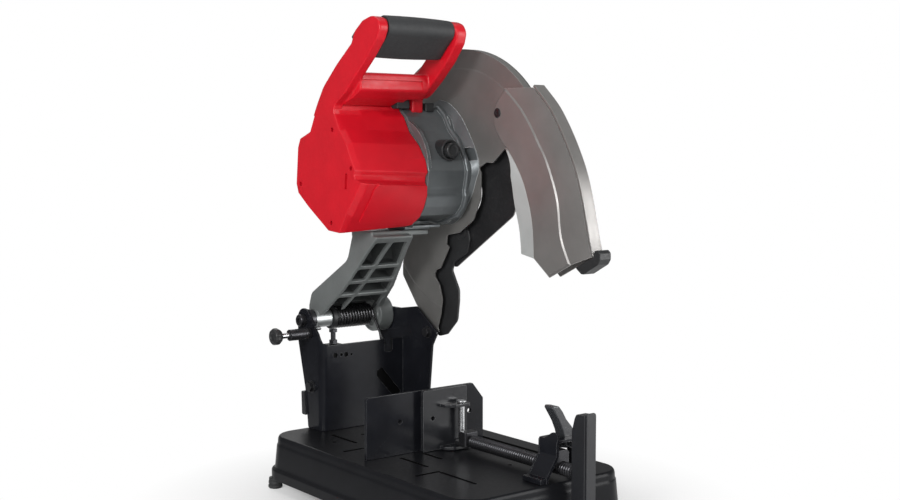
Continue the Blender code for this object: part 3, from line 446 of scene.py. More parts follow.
def ring(axis, c, a0, a1, r0, r1, n=48, soft=0.4):
    prof = fillet([(a0, r0), (a0, r1), (a1, r1), (a1, r0)], soft, 3)
    return skin([[at(axis, a, *p) for p in circle(c[0], c[1], r, n)] for a, r in prof], loop=True)


def hexagon(axis, c, a0, a1, r, phase=0.0, w=0.5):
    """Hexagon head or nut with its corners turned down at both ends."""
    ob = prism(axis, circle(c[0], c[1], r, 6, phase), a0, a1)
    h = abs(a1 - a0)
    s = 1.0 if a1 > a0 else -1.0
    dome = lathe(axis, c, [(a0, r * 0.90), (a0 + s * h * 0.14, r * 1.02), (a1 - s * h * 0.16, r * 1.02), (a1, r * 0.88)], 36)
    keep(ob, dome)
    return ob


def fluted(axis, c, prof, n, flutes, depth, lo, hi):
    """Turned solid with shallow grip flutes between lo and hi."""
    rows = []
    for a, r in prof:
        row = []
        for k in range(n):
            th = 2 * math.pi * k / n
            w = 0.5 - 0.5 * math.cos(flutes * th)
            rr = r - (depth * w if lo <= a <= hi else 0.0)
            row.append(at(axis, a, c[0] + rr * math.cos(th), c[1] + rr * math.sin(th)))
        rows.append(row)
    return skin(rows)


MADE = []


def dress(ob, name, mat, body, stands_for=(), sharp=32.0, weighted=True, paint=None):
    """Names, shades and paints a finished piece, and hangs it on its body."""
    ob.name = name
    ob.data.name = name
    me = ob.data
    me.materials.clear()
    for m in (mat if isinstance(mat, (list, tuple)) else [mat]):
        me.materials.append(m)
    me.polygons.foreach_set("material_index", [paint(p) if paint else 0 for p in me.polygons])
    me.shade_smooth()
    me.set_sharp_from_angle(angle=math.radians(sharp))
    if weighted:
        w = ob.modifiers.new("wn", "WEIGHTED_NORMAL")
        w.keep_sharp = True
        baked(ob)
    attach(ob, body)
    if stands_for:
        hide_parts(*([stands_for] if isinstance(stands_for, str) else stands_for))
    MADE.append(name)
    return ob


# ---------------------------------------------------------------- base
def rrect(w, l, r, z, n=12):
    pts = []
    for cx, cy, a in ((w / 2 - r, l / 2 - r, 0), (-w / 2 + r, l / 2 - r, 90),
                      (-w / 2 + r, -l / 2 + r, 180), (w / 2 - r, -l / 2 + r, 270)):
        for u, v in arc(cx, cy, r, a, a + 90, n):
            pts.append((u - 4.0, v, z))
    return pts


BW, BL = 256.0, 443.0
outer = [(16.0, 38.0, -60.0), (16.0, 38.0, -48.6), (15.6, 38.0, -47.4), (14.6, 37.6, -46.4), (13.0, 37.2, -45.7),
         (10.6, 36.8, -45.2), (9.0, 36.4, -44.4), (8.2, 36.2, -43.0), (7.6, 36.0, -40.0), (3.9, 35.4, -16.0),
         (3.3, 35.2, -13.2), (2.6, 35.0, -12.4), (1.6, 34.8, -11.4), (1.1, 34.6, -9.0), (0.7, 34.4, -5.6),
         (0.1, 34.1, -3.9), (-1.0, 33.6, -2.3), (-2.5, 33.0, -1.1), (-4.3, 32.4, -0.35), (-6.4, 31.8, 0.0)]
inner = [(-9.0, 31.0, -2.5), (-4.0, 33.0, -5.0), (3.5, 35.0, -46.0), (11.0, 35.5, -49.0), (11.0, 35.5, -60.0)]


def base_mesh():
    bm = bmesh.new()
    rows = [[bm.verts.new(P(*p)) for p in rrect(BW + g, BL + g, r, z)] for g, r, z in outer + inner]
    n = len(rows[0])
    top = len(outer) - 1
    for i in range(len(rows)):
        if i == top:
            continue
        a, b = rows[i], rows[(i + 1) % len(rows)]
        for k in range(n):
            bm.faces.new((a[k], a[(k + 1) % n], b[(k + 1) % n], b[k]))
    bm.faces.new(rows[top])
    bm.faces.new(list(reversed(rows[top + 1])))
    return link("tmp", bm)


def capsule(x0, y0, x1, y1, w, n=8):
    d = Vector((x1 - x0, y1 - y0)).normalized()
    a = math.degrees(math.atan2(d.y, d.x))
    return arc(x1, y1, w / 2, a - 90, a + 90, n) + arc(x0, y0, w / 2, a + 90, a + 270, n)


base = base_mesh()
for sx in (1, -1):
    for sy in (1, -1):
        cx, cy = -4.0 + sx * 98.0, sy * 191.5
        a0 = {(1, 1): 0, (-1, 1): 90, (-1, -1): 180, (1, -1): 270}[(sx, sy)]
        join(base, prism("Z", arc(cx, cy, 37.2, a0, a0 + 90, 8), -59.9, -57.5))
cut(base, prism("Z", fillet([(81.0, -95.0), (95.0, -95.0), (95.0, 55.0), (81.0, 55.0)], 5.0), -20.0, 10.0))
for g in ((-68.0, 99.0, -68.0, 158.0), (-106.0, 67.0, -78.0, 67.0), (-30.0, -42.0, -30.0, -6.0),
          (-68.0, -62.0, -68.0, -8.0), (-104.0, -91.0, -71.0, -91.0), (-71.0, -97.0, -71.0, -162.0),
          (60.0, -150.0, 60.0, -110.0), (108.0, 90.0, 108.0, 150.0)):
    cut(base, prism("Z", capsule(*g, 5.6), -1.6, 4.0))
for hx, hy in ((-32.0, 135.0), (-88.0, 120.0), (20.0, -120.0)):
    cut(base, prism("Z", circle(hx, hy, 3.0, 20), -8.0, 4.0))
# Groove floors and walls in the table top get the painted-shade recess colour.
dress(base, "base_shell", [BLACK, RECESS_SHADE], "base", "base_pan", sharp=28.0,
      paint=lambda p: 1 if -1.7 < p.center.z / MM - 75.0 < -0.1 and abs(p.center.x) < 0.116 and abs(p.center.y) < 0.200 else 0)

for tag, sx, sy in (("front_left", -1, -1), ("front_right", 1, -1), ("rear_left", -1, 1), ("rear_right", 1, 1)):
    f = lathe("Z", (-4.0 + sx * 126.0, sy * 209.0),
              [(-73.6, 3.0), (-73.6, 4.6), (-75.0, 5.4), (-75.0, 8.6), (-74.2, 9.5), (-73.0, 10.0), (-70.6, 9.8),
               (-69.9, 9.0), (-68.7, 9.0), (-68.0, 9.6), (-64.6, 9.4), (-63.9, 8.7), (-62.8, 8.7), (-62.1, 9.1),
               (-60.3, 8.8)], 40)
    dress(f, "rubber_foot_" + tag, RUBBER, "base", "foot_" + tag)

# ---------------------------------------------------------------- pivot bracket
ear_rear = [(219.0, 0.3), (226.0, 56.0), (244.0, 123.0)] + arc(PIV[0], PIV[1], 17.0, -5, 140, 18)
path = [(72.0, 181.0, 0.0, 1.0), (-59.0, 181.0, 0.0, 1.0)]
sheet = []
for k in range(0, 10):
    a = math.radians(270 - 10 * k)
    sheet.append((-60.0 + 10.0 * math.cos(a), 191.0 + 10.0 * math.sin(a), -60.0 + 6.5 * math.cos(a), 191.0 + 6.5 * math.sin(a)))
stations = [(72.0, 181.0, 72.0, 184.5)] + sheet + [(-70.0, 203.0, -66.5, 203.0)]
rings = []
for ox, oy, ix, iy in stations:
    top_o = 122.0 if oy <= 181.01 else min(150.0, 122.0 + (oy - 181.0) * 27.0 / 17.0)
    top_i = 122.0 if oy <= 181.01 else min(150.0, 122.0 + (oy - 181.0) * 27.0 / 17.0)
    rings.append([(ox, oy, 0.3), (ix, iy, 0.3), (ix, iy, top_i), (ox, oy, top_o)])
bracket = edges(skin(rings), 0.7, 2, 40)
ear = slab("X", fillet([(197.0, 0.3), *ear_rear, (198.5, 149.0)], 2.5, 4), -70.0, -66.5, 0.7)
rear = slab("X", fillet([(120.0, 0.3), *ear_rear, (188.0, 165.0), (148.0, 171.0), (98.0, 138.0), (110.0, 119.0, 8.0),
                         (117.0, 56.0, 12.0)], 4.0, 4), 70.0, 73.5, 0.7)
join(bracket, ear, rear, block((-64.0, 72.0), (183.0, 214.0), (0.3, 3.8), 0.5),
     block((-54.0, -32.0), (183.0, 203.0), (118.4, 121.6), 0.5))
cut(bracket, prism("Y", fillet([(37.0, 103.0, 4.0), (51.0, 103.0, 4.0), (51.0, 130.0), (37.0, 130.0)], 0.0), 170.0, 190.0),
    prism("Y", fillet([(24.0, 78.0), (33.0, 81.0), (65.0, 44.0), (65.0, 37.0), (56.0, 33.0), (23.0, 70.0)], 2.5), 170.0, 183.2),
    lathe("X", PIV, [(-80.0, 6.3), (80.0, 6.3)], 32), lathe("X", LOCK, [(-80.0, 4.5), (-60.0, 4.5)], 24),
    lathe("Z", (-43.0, 193.0), [(100.0, 3.9), (130.0, 3.9)], 24))
for hx, hz, hr, hn in ((-47.0, 107.0, 4.0, 6), (-37.0, 107.0, 2.4, 20), (-29.0, 106.5, 4.0, 6), (-20.0, 106.0, 1.8, 16)):
    cut(bracket, prism("Y", circle(hx, hz, hr, hn), 170.0, 183.2))
# Floors and walls of the blind recesses in the web get the painted-shade recess colour.
dress(bracket, "pivot_bracket_plate", [BRACKET, RECESS_SHADE], "base", "pivot_bracket", sharp=30.0,
      paint=lambda p: 1 if 0.1814 < p.center.y < 0.18345 and p.center.z > 0.1 and -0.055 < p.center.x < 0.075 else 0)

b = join(hexagon("X", (207.0, 61.0), -71.2, -77.0, 7.0), lathe("X", (207.0, 61.0), [(-70.0, 8.5), (-71.4, 8.5)], 32, 0.3))
dress(b, "bracket_bolt_left", DARK, "base")
b = join(hexagon("X", (119.0, 137.0), 68.8, 63.5, 7.0), lathe("X", (119.0, 137.0), [(70.0, 8.5), (68.6, 8.5)], 32, 0.3))
dress(b, "bracket_bolt_right", DARK, "base")
for tag, x in (("left", -44.0), ("right", 50.0)):
    b = join(hexagon("Z", (x, 200.0), 5.0, 10.5, 7.0), lathe("Z", (x, 200.0), [(3.8, 9.5), (5.3, 9.5)], 32, 0.3))
    dress(b, "bracket_foot_bolt_" + tag, BRIGHT, "base")
dress(slab("X", fillet([(219.5, 18.0), (231.0, 18.0), (232.5, 52.0), (224.0, 52.0)], 2.5), -73.0, -63.0, 0.9), "rear_stop_pad",
      CRANKM, "base")

shaft = lathe("X", PIV, [(-79.0, 3.5), (-79.0, 7.4), (-78.0, 8.5), (-70.3, 8.5), (-70.3, 6.0), (-66.0, 6.0), (-66.0, 10.0),
                         (69.5, 10.0), (69.5, 6.0), (81.0, 6.0), (82.0, 5.0), (82.0, 2.0)], 48, 0.4)
cut(shaft, prism("X", circle(PIV[0], PIV[1], 4.6, 6), -82.0, -75.0))
dress(shaft, "pivot_shaft_turned", [SLEEVE, DARK], "base", "pivot_shaft", paint=lambda p: 1 if p.center.x < -0.0655 else 0)
nut = hexagon("X", PIV, 73.8, 80.5, 11.0)
cut(nut, lathe("X", PIV, [(70.0, 6.3), (85.0, 6.3)], 32))
dress(nut, "pivot_lock_nut", BRIGHT, "base", "pivot_nut")


def coil():
    turns, per, side = 12, 28, 10
    x0, x1, rad, wire = -18.5, 40.0, 14.2, 2.0
    line = []
    for k in range(turns * per + 1):
        a = math.pi + 2 * math.pi * k / per
        line.append(Vector((x0 + (x1 - x0) * k / (turns * per), PIV[0] + rad * math.cos(a), PIV[1] + rad * math.sin(a))))
    end = line[-1]
    for k in range(1, 17):
        s = k / 4.0
        line.append(Vector((end.x + 0.3 * s, end.y - 6.9 * s, end.z - 9.9 * s)))
    rows = []
    for i, p in enumerate(line):
        t = (line[min(i + 1, len(line) - 1)] - line[max(i - 1, 0)]).normalized()
        u = Vector((1, 0, 0))
        u = (u - t * u.dot(t)).normalized()
        v = t.cross(u)
        rows.append([tuple(p + wire * (u * math.cos(2 * math.pi * k / side) + v * math.sin(2 * math.pi * k / side)))
                     for k in range(side)])
    return skin(rows)


dress(coil(), "return_spring", SPRINGM, "base", "torsion_spring", sharp=50.0, weighted=False)

stop = join(lathe("Z", (-43.0, 193.0), [(108.0, 2.6), (109.0, 3.5), (139.0, 3.5)], 32),
            hexagon("Z", (-43.0, 193.0), 138.6, 143.0, 6.4))
dress(stop, "stop_bolt", DARK, "base", "depth_stop_bolt")
nut = hexagon("Z", (-43.0, 193.0), 122.3, 127.3, 6.4)
cut(nut, lathe("Z", (-43.0, 193.0), [(120.0, 3.8), (130.0, 3.8)], 32))
dress(nut, "stop_jam_nut", DARK, "base")
dress(ring("X", PIV, -27.8, -21.0, 10.2, 16.0, 48, 0.8), "spring_collar", PLASTIC, "base")
barrel = ring("X", LOCK, -104.0, -70.4, 4.5, 8.0, 48, 0.7)
for a in (-80.0, -77.0):
    cut(barrel, ring("X", LOCK, a - 0.6, a + 0.6, 7.3, 9.0, 48, 0.0))
dress(barrel, "lock_pin_barrel", DARK, "base", "lock_barrel")
pin = lathe("X", LOCK, [(-122.0, 3.0), (-122.0, 4.0), (-70.0, 4.0), (-69.5, 3.0), (-67.0, 3.0), (-66.5, 2.4)], 32, 0.3)
dress(pin, "head_lock_pin", ZINC, "head_lock", "lock_pin")
knob = fluted("X", LOCK, [(-129.6, 3.0), (-129.8, 5.0), (-131.0, 6.5), (-130.9, 8.2), (-130.2, 10.2), (-129.0, 11.4), (-127.5, 12.0),
                          (-126.0, 12.0), (-124.5, 12.0), (-122.8, 11.8), (-121.4, 11.0), (-119.8, 9.6), (-118.5, 8.6), (-118.0, 8.0)],
              72, 9, 0.9, -129.5, -121.0)
cut(knob, lathe("X", LOCK, [(-122.3, 4.3), (-100.0, 4.3)], 32))
dress(knob, "lock_pull_knob", PLASTIC, "head_lock", "lock_knob")

# ---------------------------------------------------------------- fence
fence = prism("Y", fillet([(-112.0, 0.3, 1.0), (80.0, 0.3, 1.0), (80.0, 59.0, 2.5), (62.0, 81.0, 2.5), (-109.0, 81.0, 1.0),
                           (-112.0, 78.0, 1.0)], 1.0, 4), 7.0, 12.0)
for x in (-59.0, -14.0, 56.0):
    cut(fence, lathe("Y", (x, 44.0), [(0.0, 3.2), (20.0, 3.2)], 24))
edges(fence, 0.6, 2, 40)
join(fence, slab("Z", fillet([(-100.0, 11.0), (70.0, 11.0), (60.0, 44.0), (-90.0, 44.0)], 5.0), 0.3, 5.3, 0.6))
dress(fence, "fence_plate", BRACKET, "base", "fence")
for tag, x in (("left", -70.0), ("right", 34.0)):
    b = join(hexagon("Z", (x, 29.0), 7.0, 13.5, 8.5), lathe("Z", (x, 29.0), [(5.6, 11.0), (7.2, 11.0)], 40, 0.4))
    dress(b, "fence_hex_bolt_" + tag, ZINC, "base", "fence_bolt_" + tag)

# ---------------------------------------------------------------- vise
shell = [(-6.5, 0.3, 0.5), (60.0, 0.3, 1.0), (60.0, 30.0, 5.0), (52.0, 44.0, 5.0), (46.0, 50.0, 4.0), (10.6, 50.0, 2.0), (10.6, 31.0, 4.0), (-6.5, 6.0, 1.0)]
inside = [(-3.2, -5.0), (57.0, -5.0), (57.0, 29.0, 4.0), (49.5, 42.0, 4.0), (44.5, 47.0, 3.0), (13.4, 47.0, 1.0), (13.4, 30.2, 3.0), (-3.2, 5.2)]
vb = prism("Y", fillet(shell, 1.0), -218.0, -185.0)
cut(vb, prism("Y", fillet(inside, 0.0), -230.0, -170.0),
    prism("Z", fillet([(20.0, -207.0), (80.0, -207.0), (80.0, -189.0), (20.0, -189.0)], 3.0), 31.0, 70.0))
edges(vb, 0.6, 2, 40)
lug = [(38.5, 33.0), (58.0, 29.0), (52.0, 43.0), (46.0, 49.0), (38.5, 48.5)]
join(vb, prism("Y", lug, -217.5, -214.5), prism("Y", lug, -188.4, -185.4))
cut(vb, lathe("Y", REL, [(-225.0, 3.4), (-170.0, 3.4)], 24))
join(vb, slab("X", fillet([(-217.9, 46.0, 0.5), (-217.9, 59.0, 4.0), (-208.0, 59.0, 6.0), (-185.1, 44.0, 5.0), (-185.1, 40.0, 0.5)], 1.0), 10.7, 13.3, 0.4),
     slab("Y", fillet([(-16.0, 0.3), (-4.0, 0.3), (-4.0, 7.0), (-16.0, 7.0)], 1.0), -217.8, -185.2, 0.5))
flare = [(-6.4, 6.4), (10.5, 31.0), (10.5, 48.0)]
for y0, y1 in ((-218.0, -216.4), (-186.6, -185.0)):
    join(vb, slab("Y", shifted(flare, 0.9) + list(reversed(shifted(flare, -0.8))), y0, y1, 0.25, 2, 40))
dress(vb, "vise_housing", BRACKET, "base", "vise_bracket")
dress(lathe("Y", REL, [(-220.0, 2.0), (-220.0, 3.0), (-183.0, 3.0), (-183.0, 2.0)], 28, 0.4), "release_pivot_pin", ZINC, "base",
      "release_pin")
lever = prism("Y", fillet([(39.0, 36.5, 4.0), (46.0, 35.0, 6.0), (52.0, 38.0, 6.0), (53.5, 47.0, 10.0), (47.0, 60.0, 20.0), (37.0, 71.0, 20.0),
                           (31.0, 81.0, 20.0), (24.5, 88.6, 5.0), (15.5, 89.9, 2.0), (13.5, 87.5, 2.0), (19.0, 79.0, 20.0), (25.5, 69.0, 20.0),
                           (31.0, 57.0, 20.0), (34.0, 46.0, 14.0), (35.5, 39.0, 6.0)], 2.0, 6), -206.0, -190.0)
edges(lever, 1.6, 3, 35)
cut(lever, lathe("Y", REL, [(-220.0, 3.4), (-170.0, 3.4)], 24))
# The lever blade's lighter gloss black carries a painted highlight.
dress(lever, "release_lever_blade", LEVER_BLACK_HIGHLIGHT, "release", "release_lever")


def thread(c, y0, y1, r, depth, pitch, n=28, per=8):
    rows = []
    count = int((y1 - y0) / pitch * per)
    for i in range(count + 1):
        y = y0 + (y1 - y0) * i / count
        row = []
        for k in range(n):
            f = (y / pitch - k / n) % 1.0
            cutd = depth * max(0.0, min(1.0, 2.4 * (0.5 - abs(f - 0.5)) - 0.1))
            fade = min(1.0, min(y - y0, y1 - y) / 2.5)
            rr = r - depth + cutd * fade
            th = 2 * math.pi * k / n
            row.append((c[0] + rr * math.cos(th), y, c[1] + rr * math.sin(th)))
        rows.append(row)
    return rows


tail = [[(SCREW[0] + r * math.cos(2 * math.pi * k / 28), y, SCREW[1] + r * math.sin(2 * math.pi * k / 28)) for k in range(28)]
        for y, r in ((-245.0, 4.5), (-244.0, 6.0), (-233.0, 6.0), (-233.0, 7.6))]
nose = [[(SCREW[0] + r * math.cos(2 * math.pi * k / 28), y, SCREW[1] + r * math.sin(2 * math.pi * k / 28)) for k in range(28)]
        for y, r in ((-36.6, 7.6), (-36.4, 6.0), (-22.6, 6.0), (-22.0, 5.2))]
dress(skin(tail + thread(SCREW, -232.6, -37.0, 8.8, 1.1, 4.0) + nose), "vise_lead_screw", DARK, "screw_and_crank", "vise_screw",
      sharp=50.0, weighted=False)

crank = slab("X", fillet([(-257.0, -40.0, 2.0), (-241.0, -41.0, 4.0), (-239.0, -36.0, 6.0), (-234.0, -18.0, 10.0), (-234.0, 64.0, 10.0),
                          (-238.5, 80.0, 6.0), (-241.5, 85.5, 3.0), (-257.0, 86.5, 2.0)], 2.0), 18.0, 34.0, 1.4, 3)
join(crank, block((19.5, 32.5), (-258.4, -255.0), (-38.0, 84.0), 0.3),
     slab("Y", fillet([(18.4, -40.8, 3.0), (33.8, -40.8, 3.0), (33.8, 88.8, 4.0), (18.4, 88.8, 2.5)], 2.5), -260.0, -257.9, 0.7, 3))
cut(crank, lathe("Y", SCREW, [(-246.0, 6.3), (-230.0, 6.3)], 32))
dress(crank, "vise_crank", CRANKM, "screw_and_crank", "crank")

yoke = slab("Z", fillet([(15.0, -36.0), (37.0, -36.0), (37.0, -20.6), (15.0, -20.6)], 3.0), 6.0, 26.0, 1.0, 3)
join(yoke, slab("Z", fillet([(17.0, -22.0, 0.5), (35.0, -22.0, 0.5), (35.0, -7.0, 6.0), (17.0, -7.0, 6.0)], 6.0), 6.4, 11.5, 0.6))
cut(yoke, lathe("Y", SCREW, [(-40.0, 6.3), (-21.0, 6.3)], 32), lathe("Z", (SCREW[0], -14.0), [(0.0, 4.4), (50.0, 4.4)], 24))
dress(yoke, "jaw_yoke_block", DARK, "vise_carriage", "jaw_yoke")
dress(lathe("Z", (SCREW[0], -14.0), [(1.0, 3.0), (1.0, 4.0), (62.6, 4.0), (62.6, 6.0), (65.0, 6.0), (65.0, 3.0)], 32, 0.5),
      "jaw_pivot_pin", ZINC, "vise_carriage", "jaw_pin")
jaw = prism("Y", fillet([(-30.0, 1.0, 1.0), (42.5, 1.0, 1.0), (42.5, 82.0, 2.0), (-28.0, 82.0, 1.0), (-30.0, 80.0, 1.0)], 1.0, 4), -4.0, 1.0)
cut(jaw, lathe("Y", (-14.0, 44.0), [(-10.0, 3.2), (10.0, 3.2)], 24))
edges(jaw, 0.6, 2, 40)
for z0 in (1.5, 58.0):
    join(jaw, slab("Z", fillet([(-2.0, -3.0, 0.5), (-2.0, -13.0, 4.0), (9.0, -22.0, 6.0), (34.0, -22.0, 5.0), (38.0, -16.0, 5.0),
                                (38.0, -3.0, 0.5)], 2.0), z0, z0 + 4.0, 0.5))
cut(jaw, lathe("Z", (SCREW[0], -14.0), [(-5.0, 4.4), (70.0, 4.4)], 24))
# The jaw wears the lightened coat, as painted light.
dress(jaw, "vise_jaw", JAW_COAT_LIT, "jaw", "jaw_plate")


# ---------------------------------------------------------------- arm
def right_x(z):
    t = min(1.0, max(0.0, (285.0 - z) / 120.0))
    return 3.0 + 42.0 * t


side = fillet([(70.0, 281.0, 2.0), (132.0, 281.0, 2.0), (145.0, 245.0, 24.0), (240.0, 191.0, 14.0), (247.0, 172.0, 8.0), (246.5, 154.0, 4.0),
               (240.0, 140.0, 8.0), (228.0, 135.5, 8.0), (214.0, 142.0, 8.0), (209.5, 154.0, 5.0), (211.0, 163.0, 6.0),
               (156.0, 203.0, 14.0), (96.0, 259.0, 14.0)], 6.0, 5)
arm = skin([[(-50.0, y, z) for y, z in side], [(right_x(z) + 6.0, y, z) for y, z in side]])


def along(t, stops):
    for (t0, y0, z0), (t1, y1, z1) in zip(stops, stops[1:]):
        if t <= t1:
            f = (t - t0) / (t1 - t0)
            return (y0 + (y1 - y0) * f, z0 + (z1 - z0) * f)
    return stops[-1][1:]


front_line = [(0.0, 56.0, 273.0), (0.4, 108.0, 226.0), (1.0, 190.0, 150.0)]
rear_line = [(0.0, 120.0, 281.0), (0.4, 134.0, 241.0), (1.0, 224.0, 190.0)]


def pocket_tool(t0, t1, xl, xr):
    quad = [along(t0, front_line), along(t0, rear_line), along(t1, rear_line), along(t1, front_line)]
    return skin([[(xl(z), y, z) for y, z in quad], [(xr(z), y, z) for y, z in quad]])


for t0, t1 in ((0.04, 0.37), (0.42, 0.57), (0.61, 0.76), (0.80, 1.0)):
    cut(arm, pocket_tool(t0, t1, lambda z: -44.0, lambda z: -21.0), pocket_tool(t0, t1, lambda z: -16.0, right_x))
cut(arm, lathe("X", PIV, [(-44.0, 17.5), (46.0, 17.5)], 40),
    prism("X", [(205.0, 120.0), (262.0, 120.0), (262.0, 176.0), (205.0, 176.0)], -44.0, 44.0))
cut(arm, prism("X", fillet([(196.0, 120.0), (262.0, 120.0), (262.0, 162.5), (218.0, 162.5, 8.0), (196.0, 160.0)], 0.0), -54.0, -43.0))
pile(arm, lathe("X", PIV, [(46.0, 26.0), (69.0, 26.0)], 48),
     prism("X", [(84.0, 280.0), (134.0, 280.0), (134.0, 287.0), (84.0, 287.0)], -50.0, 45.0))
remesh(arm, 1.1, 4)
cut(arm, lathe("X", PIV, [(-80.0, 12.5), (0.0, 12.5), (0.0, 10.45), (80.0, 10.45)], 48))
# The lower lip takes the painted-shade pocket colour.
dress(slab("X", fillet([(PIV[0] + 15.5, PIV[1] + 9.5), (PIV[0] + 18.5, PIV[1] + 9.5), (PIV[0] + 18.5, PIV[1] + 42.0), (PIV[0] + 12.0, PIV[1] + 42.0),
                        (PIV[0] + 12.0, PIV[1] + 15.0)], 1.0), -26.0, 44.0, 0.6), "arm_lower_lip", CAST_POCKET_SHADE, "head")
dress(ring("X", PIV, -64.5, -56.2, 10.5, 15.0, 48, 0.7), "pivot_thrust_ring", DARK, "head")
dress(ring("X", PIV, -56.0, -28.2, 10.5, 12.3, 48, 0.6), "pivot_sleeve", SLEEVE, "head")
core = grown([p for p in side], -5.0)


def pocket_shade_face(p):
    """Faces of the arm that lie well inside its outline, between its flanges; they get painted shade."""
    x, y, z = p.center.x / MM - 4.0, p.center.y / MM, p.center.z / MM - 75.0
    if not -44.6 < x < right_x(z) + 0.8 or z > 279.0:
        return 0
    odd = False
    for (y0, z0), (y1, z1) in zip(core, core[1:] + core[:1]):
        if (z0 > z) != (z1 > z) and y < (y1 - y0) * (z - z0) / (z1 - z0) + y0:
            odd = not odd
    return 1 if odd else 0


# Pocket faces of the arm get painted shade.
dress(arm, "arm_casting", [CASTL, CAST_POCKET_SHADE], "head", "arm", sharp=60.0, weighted=False, paint=pocket_shade_face)
a = math.radians(math.degrees(math.atan2(LOCK[1] - PIV[1], LOCK[0] - PIV[0])) - 21.75)
dress(slab("X", fillet([(PIV[0] + r * math.cos(a + s), PIV[1] + r * math.sin(a + s))
                        for r, s in ((15.5, -0.12), (26.5, -0.08), (26.5, 0.08), (15.5, 0.12))], 0.8, 3), -64.0, -56.0, 0.6),
      "lock_dog", ZINC, "head", "lock_lug")

# ---------------------------------------------------------------- gear case
def shape_x(pts, x):
    return [(x, y, z) for y, z in pts]


CP = [(92.0, 453.0), (78.0, 442.0), (65.0, 422.0), (49.0, 408.0), (32.0, 383.0), (27.0, 368.0), (31.0, 348.0), (32.3, 344.5),
      (32.3, 337.5), (31.0, 334.0), (36.6, 320.0), (48.0, 308.0), (91.0, 296.0), (130.0, 302.0), (160.0, 326.0), (172.0, 356.0),
      (171.0, 388.0), (157.0, 420.0), (130.0, 449.0)]
case = edges(skin([[(x, y, z) for y, z in scaled(CP, CASE, f)] for x, f in ((3.0, 1.0), (34.0, 0.995), (66.5, 0.985))]), 1.6, 3, 12)
rim = edges(skin([[(x, y, z) for y, z in fillet(grown(CP, g), 3.0, 4)] for x, g in ((65.0, 2.6), (66.4, 4.0), (70.4, 4.0), (71.0, 3.2))]), 0.8, 2, 30)
A = [(108.0, 453.0), (92.0, 450.0), (71.0, 441.0), (61.0, 421.0), (48.0, 409.0), (36.0, 392.0), (25.5, 376.0), (24.0, 363.0), (28.0, 351.0),
     (33.0, 337.0), (41.0, 324.0), (55.0, 306.0), (81.0, 293.0), (130.0, 299.0), (162.0, 326.0), (172.0, 372.0), (154.0, 420.0), (128.0, 450.0)]
B = [(104.0, 466.0), (86.0, 462.0), (70.0, 453.0), (54.0, 440.0), (41.0, 423.0), (28.0, 404.0), (17.5, 383.0), (17.0, 369.0), (23.0, 355.0),
     (30.0, 338.0), (39.0, 324.5), (54.0, 306.0), (81.0, 292.0), (132.0, 297.0), (164.0, 326.0), (174.0, 372.0), (158.0, 424.0), (129.0, 456.0)]
neck = skin([shape_x(spline(A + A[:1], 4)[:-1], 69.0), shape_x(spline(A + A[:1], 4)[:-1], 73.0), shape_x(spline(B + B[:1], 4)[:-1], 79.0),
             shape_x(grown(spline(B + B[:1], 4)[:-1], 0.4), 79.9)])
cut(neck, slab("Y", fillet([(71.2, 381.0), (78.6, 383.0), (78.6, 401.0), (71.2, 398.0)], 2.0), -10.0, 46.0, 0.5))
join(case, rim, neck)
join(case, slab("X", fillet([(84.0, 287.3), (128.0, 287.3), (128.0, 302.0), (84.0, 302.0)], 2.0), 5.0, 48.0, 1.0),
     slab("X", fillet([(64.0, 291.0), (128.0, 291.0), (128.0, 294.6), (64.0, 294.6)], 1.0), 4.0, 50.0, 0.6))
cut(case, skin([[(x, y, z) for y, z in grown(CP, -4.0)] for x in (-2.0, 60.0)]),
    lathe("X", SPN, [(16.0, 31.5), (33.0, 31.5)], 64), lathe("X", SPN, [(55.0, 15.3), (90.0, 15.3)], 40),
    lathe("Y", (40.0, 396.0), [(0.0, 10.9), (48.0, 10.9)], 40))
dress(case, "gear_case_casting", CAST, "head", "gear_case", sharp=26.0)

button = lathe("Y", (40.0, 396.0), [(22.4, 3.0), (22.2, 5.6), (21.3, 7.2), (21.0, 8.2), (21.4, 9.4), (22.4, 10.2), (31.0, 10.2), (31.0, 4.0),
                                    (40.0, 4.0), (40.0, 2.0)], 48, 0.3)
collar = ring("Y", (40.0, 396.0), 28.0, 52.0, 10.9, 14.4, 64, 1.2)
dress(collar, "button_collar", PLASTIC, "head")
dress(button, "spindle_lock_cap", PLASTIC, "spindle_lock", "spindle_lock_button")

# ---------------------------------------------------------------- motor shell
LEFT = [(99, 456), (98, 449), (97, 443), (82, 424), (66, 406), (56, 388), (44, 370), (47, 364), (44, 358), (30, 353), (40, 340), (52, 326),
        (66, 310), (87, 287), (114, 289)]
RIGHT = [(95, 455), (92, 449), (82, 441), (69, 420), (48, 403), (33, 383), (28, 367), (33, 361), (34, 354), (31, 349), (31, 337), (38, 321),
         (47, 308), (70, 294), (100, 290)]
REAR = [(164, 319), (190, 337), (195, 350), (190, 400), (184, 412), (158, 421), (146, 443), (141, 456)]
HC = (105.0, 372.0)


def section(x):
    f = min(1.0, max(0.0, (x + 92.0) / 95.0))
    return [(a[0] + (b[0] - a[0]) * f, a[1] + (b[1] - a[1]) * f) for a, b in zip(LEFT, RIGHT)] + [tuple(map(float, p)) for p in REAR]


def shape(pts, x):
    return [(x, y, z) for y, z in pts]


